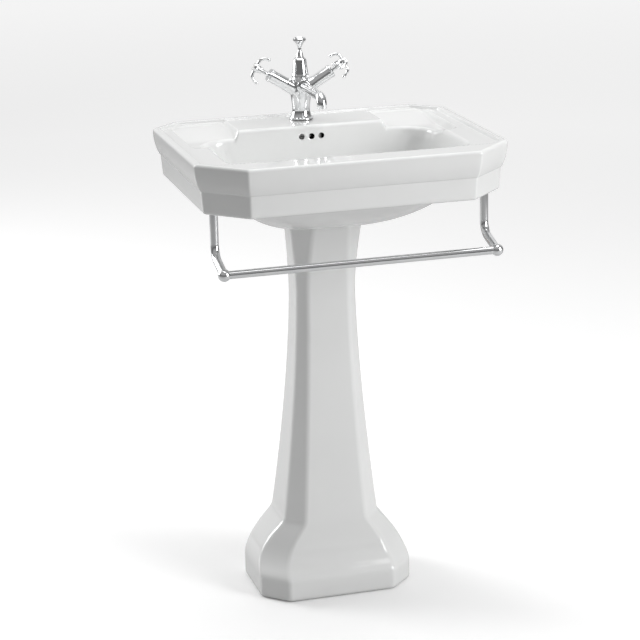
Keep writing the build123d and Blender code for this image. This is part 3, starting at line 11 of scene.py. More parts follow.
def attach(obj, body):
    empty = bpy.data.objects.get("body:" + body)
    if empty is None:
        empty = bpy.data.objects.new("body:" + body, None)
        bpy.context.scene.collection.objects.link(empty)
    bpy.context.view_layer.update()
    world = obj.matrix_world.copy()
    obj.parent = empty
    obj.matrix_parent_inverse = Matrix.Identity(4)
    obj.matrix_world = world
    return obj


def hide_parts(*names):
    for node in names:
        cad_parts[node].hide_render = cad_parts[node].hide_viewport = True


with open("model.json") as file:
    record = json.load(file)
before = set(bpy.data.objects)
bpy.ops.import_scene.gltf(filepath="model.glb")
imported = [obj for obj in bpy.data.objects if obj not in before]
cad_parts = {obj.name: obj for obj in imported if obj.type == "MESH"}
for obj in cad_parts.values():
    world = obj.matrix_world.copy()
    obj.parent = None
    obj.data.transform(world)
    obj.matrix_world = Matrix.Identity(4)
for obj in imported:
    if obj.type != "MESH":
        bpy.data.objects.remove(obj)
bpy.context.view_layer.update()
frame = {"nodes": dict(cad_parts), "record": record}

scene = bpy.context.scene
MM = 0.001

# Camera: its place in metres, its turns in degrees, and its lens and sensor in millimetres
CAMERA_PLACE = (-1.113, -3.915, 1.762)
CAMERA_YAW = 15.53
CAMERA_PITCH = 16.22
CAMERA_ROLL = -1.34
CAMERA_LENS = 120.39
SENSOR = 36.0
CAMERA_CLIP_END = 200


def make_camera():
    """The camera at the photograph's viewing angle."""
    yaw, pitch, roll = (radians(a) for a in (CAMERA_YAW, CAMERA_PITCH, CAMERA_ROLL))
    ahead = Vector((sin(yaw) * cos(pitch), cos(yaw) * cos(pitch), -sin(pitch)))
    level = Vector((cos(yaw), -sin(yaw), 0))
    above = level.cross(ahead)
    right = level * cos(roll) + above * sin(roll)
    up = above * cos(roll) - level * sin(roll)
    data = bpy.data.cameras.new("camera")
    data.lens = CAMERA_LENS
    data.sensor_width = SENSOR
    data.clip_end = CAMERA_CLIP_END
    camera = bpy.data.objects.new("camera", data)
    turn = Matrix((right, up, -ahead)).transposed().to_4x4()
    camera.matrix_world = Matrix.Translation(CAMERA_PLACE) @ turn
    scene.collection.objects.link(camera)
    scene.camera = camera


def area_light(name, place, target, size, watts):
    """A soft rectangular studio lamp aimed at a point."""
    data = bpy.data.lights.new(name, "AREA")
    data.shape = "RECTANGLE"
    data.size, data.size_y = size
    data.energy = watts
    lamp = bpy.data.objects.new(name, data)
    lamp.location = place
    lamp.rotation_euler = (Vector(target) - Vector(place)).to_track_quat("-Z", "Y").to_euler()
    scene.collection.objects.link(lamp)


# Lamps: name, place and target in metres, width and height, and watts
LAMPS = (
    ("left_softbox", (-2.3, 2.3, 1.8), (0, 0, 0.6), (1.6, 2.2), 72),
    ("front_softbox", (2.4, -2.3, 1.7), (0, 0, 0.6), (1.4, 2.4), 80),
    ("top_softbox", (0.2, 0.1, 3.2), (0, 0, 0.9), (2.4, 2.0), 29),
)

# World: what the camera sees, and for each direction where its light starts and ends, and its grey there
BACKGROUND_GREY = 0.95
WORLD_RAMPS = (
    ("Z", 0.08, 0.55, 0.15, 0.38),
    ("Y", 0.30, 0.80, 0.0, 0.46),
)


def make_world():
    """Soft room light: dark towards the camera, lighter above, brightest behind the object."""
    world = bpy.data.worlds.new("studio")
    world.use_nodes = True
    tree = world.node_tree
    nodes, links = tree.nodes, tree.links
    background = nodes["Background"]
    coordinates = nodes.new("ShaderNodeTexCoord")
    split = nodes.new("ShaderNodeSeparateXYZ")
    links.new(coordinates.outputs["Generated"], split.inputs["Vector"])
    ramps = []
    for way, start, end, low, high in WORLD_RAMPS:
        ramp = nodes.new("ShaderNodeMapRange")
        ramp.interpolation_type = "SMOOTHSTEP"
        ramp.inputs["From Min"].default_value = start
        ramp.inputs["From Max"].default_value = end
        ramp.inputs["To Min"].default_value = low
        ramp.inputs["To Max"].default_value = high
        links.new(split.outputs[way], ramp.inputs["Value"])
        ramps.append(ramp)
    total = nodes.new("ShaderNodeMath")
    links.new(ramps[0].outputs["Result"], total.inputs[0])
    links.new(ramps[1].outputs["Result"], total.inputs[1])
    path = nodes.new("ShaderNodeLightPath")
    mix = nodes.new("ShaderNodeMix")
    mix.inputs["B"].default_value = BACKGROUND_GREY
    links.new(total.outputs["Value"], mix.inputs["A"])
    links.new(path.outputs["Is Camera Ray"], mix.inputs["Factor"])
    links.new(mix.outputs["Result"], background.inputs["Color"])
    scene.world = world


def new_material(name):
    """A node material, with its nodes, its links and its main shader."""
    material = bpy.data.materials.new(name)
    material.use_nodes = True
    shader = material.node_tree.nodes["Principled BSDF"]
    return material, material.node_tree.nodes, material.node_tree.links, shader


# Floor: its grey for the camera and for the light it sends back, and its glow over a distance in metres
FLOOR_CAMERA_GREY = 0.9
FLOOR_BOUNCE_GREY = 0.55
FLOOR_WIDTH = 120
FLOOR_ROUGHNESS = 0.9
FLOOR_SHINE = 0.1
FLOOR_REACH = 9.0
FLOOR_GLOW = ((0.0, 0.08), (0.1, 0.14), (0.22, 0.20), (0.55, 0.40), (1.0, 0.50))


def make_floor():
    """The plain pale floor. It looks whiter to the camera, more so far behind the object."""
    bpy.ops.mesh.primitive_plane_add(size=FLOOR_WIDTH, location=(0, 0, 0))
    floor = bpy.context.object
    floor.name = "floor"
    material, nodes, links, shader = new_material("floor")
    path = nodes.new("ShaderNodeLightPath")
    grey = nodes.new("ShaderNodeMix")
    grey.inputs["A"].default_value = FLOOR_BOUNCE_GREY
    grey.inputs["B"].default_value = FLOOR_CAMERA_GREY
    links.new(path.outputs["Is Camera Ray"], grey.inputs["Factor"])
    links.new(grey.outputs["Result"], shader.inputs["Base Color"])
    coordinates = nodes.new("ShaderNodeTexCoord")
    distance = nodes.new("ShaderNodeVectorMath")
    distance.operation = "LENGTH"
    links.new(coordinates.outputs["Object"], distance.inputs[0])
    share = nodes.new("ShaderNodeMath")
    share.operation = "DIVIDE"
    share.inputs[1].default_value = FLOOR_REACH
    links.new(distance.outputs["Value"], share.inputs[0])
    ramp = nodes.new("ShaderNodeValToRGB")
    stops = ramp.color_ramp.elements
    while len(stops) < len(FLOOR_GLOW):
        stops.new(0.5)
    for stop, (place, glow) in zip(stops, FLOOR_GLOW):
        stop.position = place
        stop.color = (glow, glow, glow, 1)
    links.new(share.outputs["Value"], ramp.inputs["Fac"])
    strength = nodes.new("ShaderNodeMath")
    strength.operation = "MULTIPLY"
    links.new(ramp.outputs["Color"], strength.inputs[0])
    links.new(path.outputs["Is Camera Ray"], strength.inputs[1])
    links.new(strength.outputs["Value"], shader.inputs["Emission Strength"])
    shader.inputs["Emission Color"].default_value = (1, 1, 1, 1)
    shader.inputs["Roughness"].default_value = FLOOR_ROUGHNESS
    shader.inputs["Specular IOR Level"].default_value = FLOOR_SHINE
    floor.data.materials.append(material)


# Patterns: the parts of a noise that colours and values run over, and how much of the relief shows
COLOUR_SPREAD = (0.35, 0.65)
VALUE_SPREAD = (0.3, 0.7)
BUMP_STRENGTH = 1.0
COAT_ROUGHNESS = 0.03


def noise(nodes, links, scale, detail, roughness, stretch):
    """A noise pattern fixed to the piece, with scale in cycles per metre."""
    coordinates = nodes.new("ShaderNodeTexCoord")
    mapping = nodes.new("ShaderNodeMapping")
    mapping.inputs["Scale"].default_value = stretch
    texture = nodes.new("ShaderNodeTexNoise")
    texture.inputs["Scale"].default_value = scale
    texture.inputs["Detail"].default_value = detail
    texture.inputs["Roughness"].default_value = roughness
    links.new(coordinates.outputs["Object"], mapping.inputs["Vector"])
    links.new(mapping.outputs["Vector"], texture.inputs["Vector"])
    return texture.outputs["Fac"]


def ramp_colour(nodes, links, factor, low, high):
    """A colour that runs between two values with a pattern."""
    ramp = nodes.new("ShaderNodeValToRGB")
    for stop, place, colour in zip(ramp.color_ramp.elements, COLOUR_SPREAD, (low, high)):
        stop.position = place
        stop.color = (*colour, 1)
    links.new(factor, ramp.inputs["Fac"])
    return ramp.outputs["Color"]


def ramp_value(nodes, links, factor, low, high):
    """A number that runs between two values with a pattern."""
    spread = nodes.new("ShaderNodeMapRange")
    spread.inputs["From Min"].default_value = VALUE_SPREAD[0]
    spread.inputs["From Max"].default_value = VALUE_SPREAD[1]
    spread.inputs["To Min"].default_value = low
    spread.inputs["To Max"].default_value = high
    links.new(factor, spread.inputs["Value"])
    return spread.outputs["Result"]


def bump(nodes, links, shader, factor, height):
    """Surface relief of a height in metres."""
    node = nodes.new("ShaderNodeBump")
    node.inputs["Strength"].default_value = BUMP_STRENGTH
    node.inputs["Distance"].default_value = height
    links.new(factor, node.inputs["Height"])
    links.new(node.outputs["Normal"], shader.inputs["Normal"])


def make_finish(name, colours, rough, patch, grain, relief, metallic=0.0, coat=0.0, stretch=(1, 1, 1)):
    """A finish: colour drifts in patches, roughness and relief follow a finer grain."""
    material, nodes, links, shader = new_material(name)
    patches = noise(nodes, links, patch, 2.0, 0.5, (1, 1, 1))
    grains = noise(nodes, links, grain, 4.0, 0.6, stretch)
    links.new(ramp_colour(nodes, links, patches, *colours), shader.inputs["Base Color"])
    links.new(ramp_value(nodes, links, grains, *rough), shader.inputs["Roughness"])
    shader.inputs["Metallic"].default_value = metallic
    shader.inputs["Coat Weight"].default_value = coat
    shader.inputs["Coat Roughness"].default_value = COAT_ROUGHNESS
    bump(nodes, links, shader, grains, relief)
    return material


# Finishes: two colours, the range of roughness, patches and grains per metre, and relief in metres
LOOKS = {
    "white_glazed_ceramic": dict(
        colours=((0.80, 0.805, 0.80), (0.815, 0.82, 0.815)), rough=(0.10, 0.14),
        patch=5, grain=22, relief=0.00006, coat=0.6,
    ),
    "chrome_plate": dict(
        colours=((0.80, 0.81, 0.82), (0.86, 0.865, 0.87)), rough=(0.03, 0.07),
        patch=30, grain=90, relief=0.000004, metallic=1.0,
    ),
    "bare_brass": dict(
        colours=((0.62, 0.46, 0.22), (0.76, 0.60, 0.32)), rough=(0.22, 0.38),
        patch=60, grain=500, relief=0.00002, metallic=1.0, stretch=(1, 1, 6),
    ),
    "zinc_steel": dict(
        colours=((0.50, 0.51, 0.53), (0.66, 0.67, 0.68)), rough=(0.28, 0.45),
        patch=70, grain=600, relief=0.00002, metallic=1.0,
    ),
    "copper_tube": dict(
        colours=((0.66, 0.33, 0.22), (0.82, 0.48, 0.34)), rough=(0.20, 0.36),
        patch=40, grain=300, relief=0.00001, metallic=1.0, stretch=(1, 1, 0.1),
    ),
    "white_enamel": dict(
        colours=((0.84, 0.84, 0.82), (0.88, 0.88, 0.86)), rough=(0.10, 0.16),
        patch=60, grain=200, relief=0.00002, coat=0.5,
    ),
    "black_rubber": dict(
        colours=((0.015, 0.015, 0.017), (0.035, 0.035, 0.038)), rough=(0.55, 0.75),
        patch=60, grain=900, relief=0.00004,
    ),
    "white_plastic": dict(
        colours=((0.78, 0.78, 0.77), (0.83, 0.83, 0.82)), rough=(0.28, 0.38),
        patch=20, grain=700, relief=0.00002,
    ),
}
FINISHES = {name: make_finish(name, **looks) for name, looks in LOOKS.items()}
slot_of = {row["node"]: row["material_slot"] for row in frame["record"]["subparts"]}


def finish_nodes():
    """Gives every construction piece the finish of its slot."""
    for node, piece in frame["nodes"].items():
        piece.data.materials.clear()
        piece.data.materials.append(FINISHES[slot_of[node]])


# Basin, in millimetres, with shares and exponents as plain numbers and DISH_START in radians
RIM = 950.0
HALF_WIDTH = 305.0
HALF_DEPTH = 255.0
FRONT_CUT = 82.0
BACK_CUT = 55.0
CORNER_RADIUS = 8.0
UPPER_BAND = 52.0
UPPER_TAPER = 11.0
UPPER_CURVE = 2.5
STEP_INSET = 12.5
LOWER_BAND = 44.5
SKIRT_INSET = 15.5
SKIRT_WALL = 14.0
RIM_RADIUS = 6.0
LIP_RADIUS = 6.0
INNER_LIP_RADIUS = 3.0
UNDER_DECK = 920.0
BORDER_INSET = 16.0
BORDER_SOFTNESS = 2.6
BORDER_END_INSET = 20.0
BORDER_LINES = (6, 8, 10, 12, 13.4, 14.2, 14.8, 15.4, 16, 16.6, 17.2, 17.8, 18.8)
FRONT_RIM_SOFTNESS = 2.0
DECK = 944.0
PLATFORM = 947.0
PLATFORM_HALF = 150.0
PLATFORM_SOFTNESS = 4.0
PLATFORM_FADE = (0, 20)
LEDGE_OUTER = 267.0
LEDGE_BACK = 228.0
LEDGE_FLOOR = 930.0
LEDGE_BACK_HEIGHT = 943.0
LEDGE_CORNER = 22.0
LEDGE_SMOOTHING = (-12, -6, 0, 6, 12)
LEDGE_OUTSIDE_EDGE = 2.0
LEDGE_SLOPE = 7.0
BOWL_HALF = 233.0
BOWL_FRONT = -191.0
BOWL_BACK = 120.0
BOWL_CORNER = 62.0
BOWL_DEPTH = 166.0
BOWL_FLOOR_RADIUS = 38.0
BOWL_FULLNESS = 2.2
MOUTH_RADIUS = 9.0
DISH_HALF = 250.0
DISH_FRONT = -213.0
DISH_BACK = 132.0
DISH_CORNER = 74.0
DISH_TOP = 940.0
DISH_DEPTH = 175.0
DISH_FLOOR_RADIUS = 36.0
DISH_FULLNESS = 1.8
WASTE_Y = 64.0
WASTE_RECESS_RADIUS = 33.0
WASTE_RECESS_DEPTH = 5.5
WASTE_RECESS_ROUNDING = 0.8
WASTE_HOLE_RADIUS = 22.5
WASTE_BOSS_RADIUS = 44.0
WASTE_BOSS_BOTTOM = 757.0
BOSS_ROUNDING = 2.0
OVERFLOW_HEIGHT = 925.0
OVERFLOW_SPACING = 20.0
OVERFLOW_RADIUS = 5.8
WALL_HOLE_X = 140.0
WALL_HOLE_HEIGHT = 888.0
WALL_HOLE_RADIUS = 7.0
TAP_Y = 195.0
TAP_HOLE_RADIUS = 17.5
OVERFLOW_LIP = 1.2
HOLE_LIP = 1.0
SHORT_LINING = HOLE_LIP + 0.01
MID_BOWL_Y = 60.0
FAR_ABOVE = 5.0
FAR_BELOW = 30.0
FAR_BEHIND = 10.0
FAR_INSIDE = 40.0
RAIL_END_X = 265.7
BRACKET_Y = -147.0
BOSS_RADIUS = 21.0
BOSS_BOTTOM = 904.0
BOSS_TOP = 926.0
BOSS_TOP_DROP = 3.0
ANCHOR_RADIUS = 6.0
DUCT_HALF = 37.0

# Side view of the duct's foot, as (Y, Z)
DUCT_FOOT = ((90, 757), (129, 757), (147, 784), (147, 790), (112, 790), (106, 782), (99, 777), (90, 777))

# The duct's channel, and the passage in it
DUCT_BACK = 147.0
DUCT_LOW = 784.0
DUCT_TOP = 940.5
DUCT_FRONT_LOW = 112.0
DUCT_FRONT_TOP = 125.0
DUCT_ROUNDING = 2.0
DUCT_CLEARANCE = 0.5
PASSAGE_HALF = 28.0
PASSAGE_TOP = 936.0
PASSAGE_LOW = 790.0
PASSAGE_DEPTH = 9.0

# How the mesh's lines spread along the back, and how round the bowl and dish are lower down
STRAIGHT_BACK = 165.0
BACK_END = 250.0
DISH_START = 0.07
CORNER_SHARE = 0.55
ROUNDEST = 0.96

# Half of the turn at each corner of the eight-sided plans
TURN = radians(22.5)


def smooth_step(value, low, high):
    """0 below low, 1 above high, with a soft start and end."""
    share = np.clip((value - low) / (high - low), 0, 1)
    return share * share * (3 - 2 * share)


def steps(length, count):
    """Shares of a straight side, close together where its corners are rounded."""
    reach = CORNER_RADIUS * tan(TURN)
    ends = [reach * n / 3 for n in range(4)]
    middle = np.linspace(reach, length - reach, count)[1:-1]
    places = [*ends, *middle, *(length - e for e in reversed(ends[1:]))]
    return [p / length for p in places]


def back_places():
    """Where the mesh's lines cross the back edge, close together at the platform's edges."""
    half = [BACK_END, 248.9, 247.8, 246.7, *np.linspace(246.7, 162, 16)[1:]]
    half += [159, 156.5, 154.5, 153, 151.8, 150.6, 149.4, 148.2, 147, 145.5, 143.5, 141]
    half += [*np.linspace(141, 40, 22)[1:-1], *np.linspace(40, 0, 19)[:-1]]
    return [*half, 0.0, *(-x for x in reversed(half[1:]))]


# Lines of the mesh: the side of the plan, counted from the front, and the share along it, or X at the back
FRONT_LENGTH = 446.0
SIDE_LENGTH = 373.0
BACK_SIDE = 4
STATIONS = [(0, t) for t in steps(FRONT_LENGTH, 60)]
STATIONS += [(1, t) for t in steps(FRONT_CUT * sqrt(2), 24)]
STATIONS += [(2, t) for t in steps(SIDE_LENGTH, 56)]
STATIONS += [(3, t) for t in steps(BACK_CUT * sqrt(2), 24)]
STATIONS += [(BACK_SIDE, x) for x in back_places()]
STATIONS += [(5, t) for t in steps(BACK_CUT * sqrt(2), 24)]
STATIONS += [(6, t) for t in steps(SIDE_LENGTH, 56)]
STATIONS += [(7, t) for t in steps(FRONT_CUT * sqrt(2), 24)]


def back_x(x, end):
    """Place along a back edge that ends at end: straight lines near the middle, stretched beyond."""
    if abs(x) <= STRAIGHT_BACK:
        return x
    share = (abs(x) - STRAIGHT_BACK) / (BACK_END - STRAIGHT_BACK)
    return np.sign(x) * (STRAIGHT_BACK + (end - STRAIGHT_BACK) * share)


def round_corner(corner, before, after, distance, radius):
    """A point on the arc that rounds a corner, at a signed distance from it."""
    middle = after - before
    middle = middle / np.linalg.norm(middle)
    along = after + before
    along = along / np.linalg.norm(along)
    angle = distance / (radius * tan(TURN)) * TURN
    centre = corner + middle * radius / cos(TURN)
    return centre - radius * cos(angle) * middle + radius * sin(angle) * along


def outline_ring(inset, back_inset):
    """The basin's eight-sided plan, moved in at the front and sides and at the back."""
    half = HALF_WIDTH - inset
    front, back = -HALF_DEPTH + inset, HALF_DEPTH - back_inset
    total = HALF_WIDTH + HALF_DEPTH - inset * sqrt(2)
    near, far = total - FRONT_CUT, total - BACK_CUT
    right = ((near + front, front), (half, half - near), (half, far - half), (far - back, back))
    corners = [np.array(p) for p in right]
    corners += [np.array((-x, y)) for x, y in reversed(right)]
    corners = [corners[-1]] + corners[:-1]
    ways = [corners[(k + 1) % 8] - corners[k] for k in range(8)]
    lengths = [np.linalg.norm(w) for w in ways]
    ways = [w / n for w, n in zip(ways, lengths)]
    reach = CORNER_RADIUS * tan(TURN)
    ring = []
    for side, place in STATIONS:
        if side == BACK_SIDE:
            half_back = lengths[BACK_SIDE] / 2
            distance = half_back - back_x(place, half_back)
        else:
            distance = place * lengths[side]
        if distance < reach:
            point = round_corner(corners[side], ways[side - 1], ways[side], distance, CORNER_RADIUS)
        elif lengths[side] - distance < reach:
            after = (side + 1) % 8
            gap = distance - lengths[side]
            point = round_corner(corners[after], ways[side], ways[after], gap, CORNER_RADIUS)
        else:
            point = corners[side] + ways[side] * distance
        ring.append(point)
    return np.array(ring)


def oblong_ring(half, low, high, radius):
    """A rectangle with round corners, with the same lines as the basin's plan."""
    x, lower, upper = half - radius, low + radius, high - radius
    starts = {1: -90, 3: 0, 5: 90, 7: 180}
    centres = {1: (x, lower), 3: (x, upper), 5: (-x, upper), 7: (-x, lower)}
    ring = []
    for side, place in STATIONS:
        if side in starts:
            angle = radians(starts[side] + 90 * place)
            centre = centres[side]
            ring.append((centre[0] + radius * cos(angle), centre[1] + radius * sin(angle)))
        elif side == 0:
            ring.append((-x + 2 * x * place, low))
        elif side == 2:
            ring.append((half, lower + (upper - lower) * place))
        elif side == 6:
            ring.append((-half, upper - (upper - lower) * place))
        else:
            mouth = BOWL_HALF - BOWL_CORNER
            ring.append((back_x(place, mouth) * x / mouth, high))
    return np.array(ring)


def hollow_corner(corner, keep, half, depth):
    """Corner radius of a bowl's plan: smaller lower down, and never more than the plan allows."""
    return min(corner * (CORNER_SHARE + (1 - CORNER_SHARE) * keep), ROUNDEST * half, ROUNDEST / 2 * depth)


def hollow_ring(half, front, back, floor_radius, corner, keep):
    """Plan of a bowl part of the way from its floor, keep 0, to its rim, keep 1."""
    wide = floor_radius + (half - floor_radius) * keep
    low = WASTE_Y - floor_radius + (front - WASTE_Y + floor_radius) * keep
    high = WASTE_Y + floor_radius + (back - WASTE_Y - floor_radius) * keep
    return oblong_ring(wide, low, high, hollow_corner(corner, keep, wide, high - low))


def deck_height(x, y):
    """Height of the top: front rim, deck, platform and the sloping soap ledges."""
    wide = np.abs(x)
    behind = smooth_step(y, BOWL_FRONT - FRONT_RIM_SOFTNESS, BOWL_FRONT + FRONT_RIM_SOFTNESS)
    height = RIM - (RIM - DECK) * behind
    middle = 1 - smooth_step(wide, PLATFORM_HALF - PLATFORM_SOFTNESS, PLATFORM_HALF + PLATFORM_SOFTNESS)
    middle = middle * smooth_step(y, *PLATFORM_FADE)
    height = height + (PLATFORM - height) * middle
    ends = BOWL_BACK - 2 * BOWL_CORNER, BOWL_BACK - BOWL_CORNER, BOWL_BACK, LEDGE_BACK
    heights = DECK, LEDGE_FLOOR, LEDGE_FLOOR, LEDGE_BACK_HEIGHT
    floor = sum(np.interp(y + shift, ends, heights) for shift in LEDGE_SMOOTHING) / len(LEDGE_SMOOTHING)
    centre_x, half_x = (LEDGE_OUTER + PLATFORM_HALF) / 2, (LEDGE_OUTER - PLATFORM_HALF) / 2
    centre_y, half_y = (LEDGE_BACK + ends[0]) / 2, (LEDGE_BACK - ends[0]) / 2
    away_x = np.abs(wide - centre_x) - half_x + LEDGE_CORNER
    away_y = np.abs(y - centre_y) - half_y + LEDGE_CORNER
    outside = np.hypot(np.maximum(away_x, 0), np.maximum(away_y, 0))
    distance = outside + np.minimum(np.maximum(away_x, away_y), 0) - LEDGE_CORNER
    inside = smooth_step(-distance, -LEDGE_OUTSIDE_EDGE, LEDGE_SLOPE)
    return height - inside * np.maximum(height - floor, 0)


def raised(ring, height):
    """A plan ring lifted to a height, one number or one per point."""
    return np.column_stack([ring, np.broadcast_to(height, len(ring))])


# Welding distance in metres, and the turns in degrees past which an edge stays sharp
WELD = 2e-6
BASIN_SHARP = 40
PEDESTAL_SHARP = 50


class Shape:
    """Points and faces of one piece, gathered from rings."""

    def __init__(self):
        self.points = []
        self.faces = []

    def add(self, points):
        """Adds points and gives the number of the first one."""
        start = len(self.points)
        self.points.extend(tuple(p) for p in points)
        return start

    def skin(self, rings):
        """Quads between rings of equally many points. The faces look left of the way the rings run."""
        count = len(rings[0])
        start = self.add(p for ring in rings for p in ring)
        for row in range(len(rings) - 1):
            low, high = start + row * count, start + (row + 1) * count
            for n in range(count):
                m = (n + 1) % count
                self.faces.append((low + n, low + m, high + m, high + n))

    def welded(self):
        """The gathered mesh in metres, welded and with its faces turned outwards."""
        mesh = bmesh.new()
        points = [mesh.verts.new(Vector(p) * MM) for p in self.points]
        for face in self.faces:
            mesh.faces.new([points[n] for n in face])
        bmesh.ops.remove_doubles(mesh, verts=mesh.verts, dist=WELD)
        bmesh.ops.dissolve_degenerate(mesh, edges=mesh.edges, dist=WELD / 2)
        bmesh.ops.recalc_face_normals(mesh, faces=mesh.faces)
        return mesh


RING_CACHE = {}
KEEP_STEPS = 400


def bowl_rings(keep):
    """The bowl's plan at a keep value, from a fine ladder of rings with a straight blend between two."""
    place = keep * KEEP_STEPS
    low = int(place)
    for step in (low, low + 1):
        if step not in RING_CACHE:
            RING_CACHE[step] = hollow_ring(
                BOWL_HALF, BOWL_FRONT, BOWL_BACK, BOWL_FLOOR_RADIUS, BOWL_CORNER, step / KEEP_STEPS
            )
    return RING_CACHE[low] + (RING_CACHE[low + 1] - RING_CACHE[low]) * (place - low)


def basin_top(shape):
    """From the rim over the border, the deck and the bowl's mouth down to the bowl's floor."""
    rings = []
    for inset in (*BORDER_LINES, BORDER_END_INSET):
        ring = outline_ring(inset, inset)
        low, high = BORDER_INSET - BORDER_SOFTNESS, BORDER_INSET + BORDER_SOFTNESS
        drop = smooth_step(inset, low, high) * (RIM - deck_height(ring[:, 0], ring[:, 1]))
        rings.append(raised(ring, RIM - drop))
    border = outline_ring(BORDER_END_INSET, BORDER_END_INSET)
    grow = MOUTH_RADIUS
    mouth = oblong_ring(BOWL_HALF + grow, BOWL_FRONT - grow, BOWL_BACK + grow, BOWL_CORNER + grow)
    for share in np.linspace(0, 1, 50)[1:]:
        ring = border + (mouth - border) * share
        rings.append(raised(ring, deck_height(ring[:, 0], ring[:, 1])))
    edge = deck_height(mouth[:, 0], mouth[:, 1])
    for angle in np.linspace(0, pi / 2, 6)[1:]:
        out = grow * (1 - sin(angle))
        ring = oblong_ring(BOWL_HALF + out, BOWL_FRONT - out, BOWL_BACK + out, BOWL_CORNER + out)
        rings.append(raised(ring, edge - grow * (1 - cos(angle))))
    start = (RIM - edge + grow) / BOWL_DEPTH
    first = np.arcsin(start ** (BOWL_FULLNESS / 2))
    for share in np.linspace(0, 1, 42)[1:]:
        turn = first + (pi / 2 - first) * share
        deep = np.sin(turn) ** (2 / BOWL_FULLNESS)
        keep = np.clip(np.cos(turn), 0, 1) ** (2 / BOWL_FULLNESS)
        ring = np.array([bowl_rings(k)[n] for n, k in enumerate(keep)])
        rings.append(raised(ring, RIM - BOWL_DEPTH * deep))
    shape.skin(rings)


def round_ring(like, radius, height):
    """A circle about the waste, with its points in the directions of another ring's."""
    away = like - np.array((0, WASTE_Y))
    away = away / np.linalg.norm(away, axis=1)[:, None]
    return raised(away * radius + np.array((0, WASTE_Y)), height)


def dish_ring(keep):
    """Plan of the dish under the bowl."""
    return hollow_ring(DISH_HALF, DISH_FRONT, DISH_BACK, DISH_FLOOR_RADIUS, DISH_CORNER, keep)


def basin_underside(shape):
    """From the bowl's floor through the waste hole, over the dish and the deck's underside to the lip."""
    floor = bowl_rings(0.0)
    bottom = RIM - BOWL_DEPTH
    recess = bottom - WASTE_RECESS_DEPTH
    rings = [raised(floor, bottom)]
    turns = (
        (WASTE_RECESS_RADIUS + WASTE_RECESS_ROUNDING, bottom),
        (WASTE_RECESS_RADIUS + 0.25 * WASTE_RECESS_ROUNDING, bottom - 0.3125 * WASTE_RECESS_ROUNDING),
        (WASTE_RECESS_RADIUS, bottom - WASTE_RECESS_ROUNDING),
        (WASTE_RECESS_RADIUS, recess),
        (WASTE_HOLE_RADIUS, recess),
        (WASTE_HOLE_RADIUS, WASTE_BOSS_BOTTOM),
        (WASTE_BOSS_RADIUS - BOSS_ROUNDING, WASTE_BOSS_BOTTOM),
        (WASTE_BOSS_RADIUS - 0.3 * BOSS_ROUNDING, WASTE_BOSS_BOTTOM + 0.3 * BOSS_ROUNDING),
        (WASTE_BOSS_RADIUS, WASTE_BOSS_BOTTOM + BOSS_ROUNDING),
        (WASTE_BOSS_RADIUS, DISH_TOP - DISH_DEPTH),
    )
    for radius, height in turns:
        rings.append(round_ring(floor, radius, height))
    last = np.arcsin(((DISH_TOP - UNDER_DECK) / DISH_DEPTH) ** (DISH_FULLNESS / 2))
    for turn in np.linspace(pi / 2 - DISH_START, last, 34):
        deep = sin(turn) ** (2 / DISH_FULLNESS)
        keep = cos(turn) ** (2 / DISH_FULLNESS)
        ring = dish_ring(keep)
        rings.append(raised(ring, DISH_TOP - DISH_DEPTH * deep))
    dish = rings[-1][:, :2]
    room_inset = UPPER_TAPER + SKIRT_WALL
    room = outline_ring(room_inset, SKIRT_WALL)
    for share in np.linspace(0, 1, 22)[1:]:
        rings.append(raised(dish + (room - dish) * share, UNDER_DECK))
    low = RIM - UPPER_BAND - LOWER_BAND
    wall_inset = SKIRT_INSET + SKIRT_WALL
    for share in np.linspace(0, 1, 7)[1:]:
        height = UNDER_DECK + (low + INNER_LIP_RADIUS - UNDER_DECK) * share
        inset = room_inset + (wall_inset - room_inset) * share
        rings.append(raised(outline_ring(inset, SKIRT_WALL), height))
    for angle in np.linspace(0, pi / 2, 5)[1:]:
        move = INNER_LIP_RADIUS * (1 - cos(angle))
        height = low + INNER_LIP_RADIUS * (1 - sin(angle))
        rings.append(raised(outline_ring(wall_inset - move, SKIRT_WALL - move), height))
    shape.skin(rings)
    return rings[-1]


def basin_outside(shape, lip_ring):
    """From the lip up over both bands and the rounded rim."""
    low = RIM - UPPER_BAND - LOWER_BAND
    step = RIM - UPPER_BAND
    rings = [lip_ring]
    for angle in np.linspace(0, pi / 2, 7):
        move = LIP_RADIUS * (1 - sin(angle))
        height = low + LIP_RADIUS * (1 - cos(angle))
        rings.append(raised(outline_ring(SKIRT_INSET + move, move), height))
    for share in (0.1, 0.3, 0.5, 0.7, 0.85, 0.93, 0.98):
        inset = SKIRT_INSET + (STEP_INSET - SKIRT_INSET) * share
        height = low + LIP_RADIUS + (LOWER_BAND - LIP_RADIUS) * share
        rings.append(raised(outline_ring(inset, 0), height))
    rings.append(raised(outline_ring(STEP_INSET - 0.15, 0), step - 0.3))
    rings.append(raised(outline_ring(STEP_INSET - 0.5, 0), step - 0.05))
    rings.append(raised(outline_ring(UPPER_TAPER + 0.5, 0), step + 0.05))
    rings.append(raised(outline_ring(UPPER_TAPER + 0.1, 0), step + 0.35))
    for share in (0.975, 0.95, 0.91, 0.86, 0.8, 0.74, 0.66, 0.58, 0.5, 0.4, 0.3, 0.2):
        inset = UPPER_TAPER * share**UPPER_CURVE
        rings.append(raised(outline_ring(inset, 0), RIM - UPPER_BAND * share))
    for angle in np.linspace(0, pi / 2, 8):
        move = RIM_RADIUS * (1 - cos(angle))
        rings.append(raised(outline_ring(move, move), RIM - RIM_RADIUS * (1 - sin(angle))))
    shape.skin(rings)


# Holes: points around them, then in metres where faces are cleared, edges looked for and rays started
ROUND_COUNT = 48
CLEARED_BEYOND = 0.0008
CLEARED_DEPTH = 0.012
EDGE_BEYOND = 0.012
EDGE_DEPTH = 0.013
RAY_START = 0.02

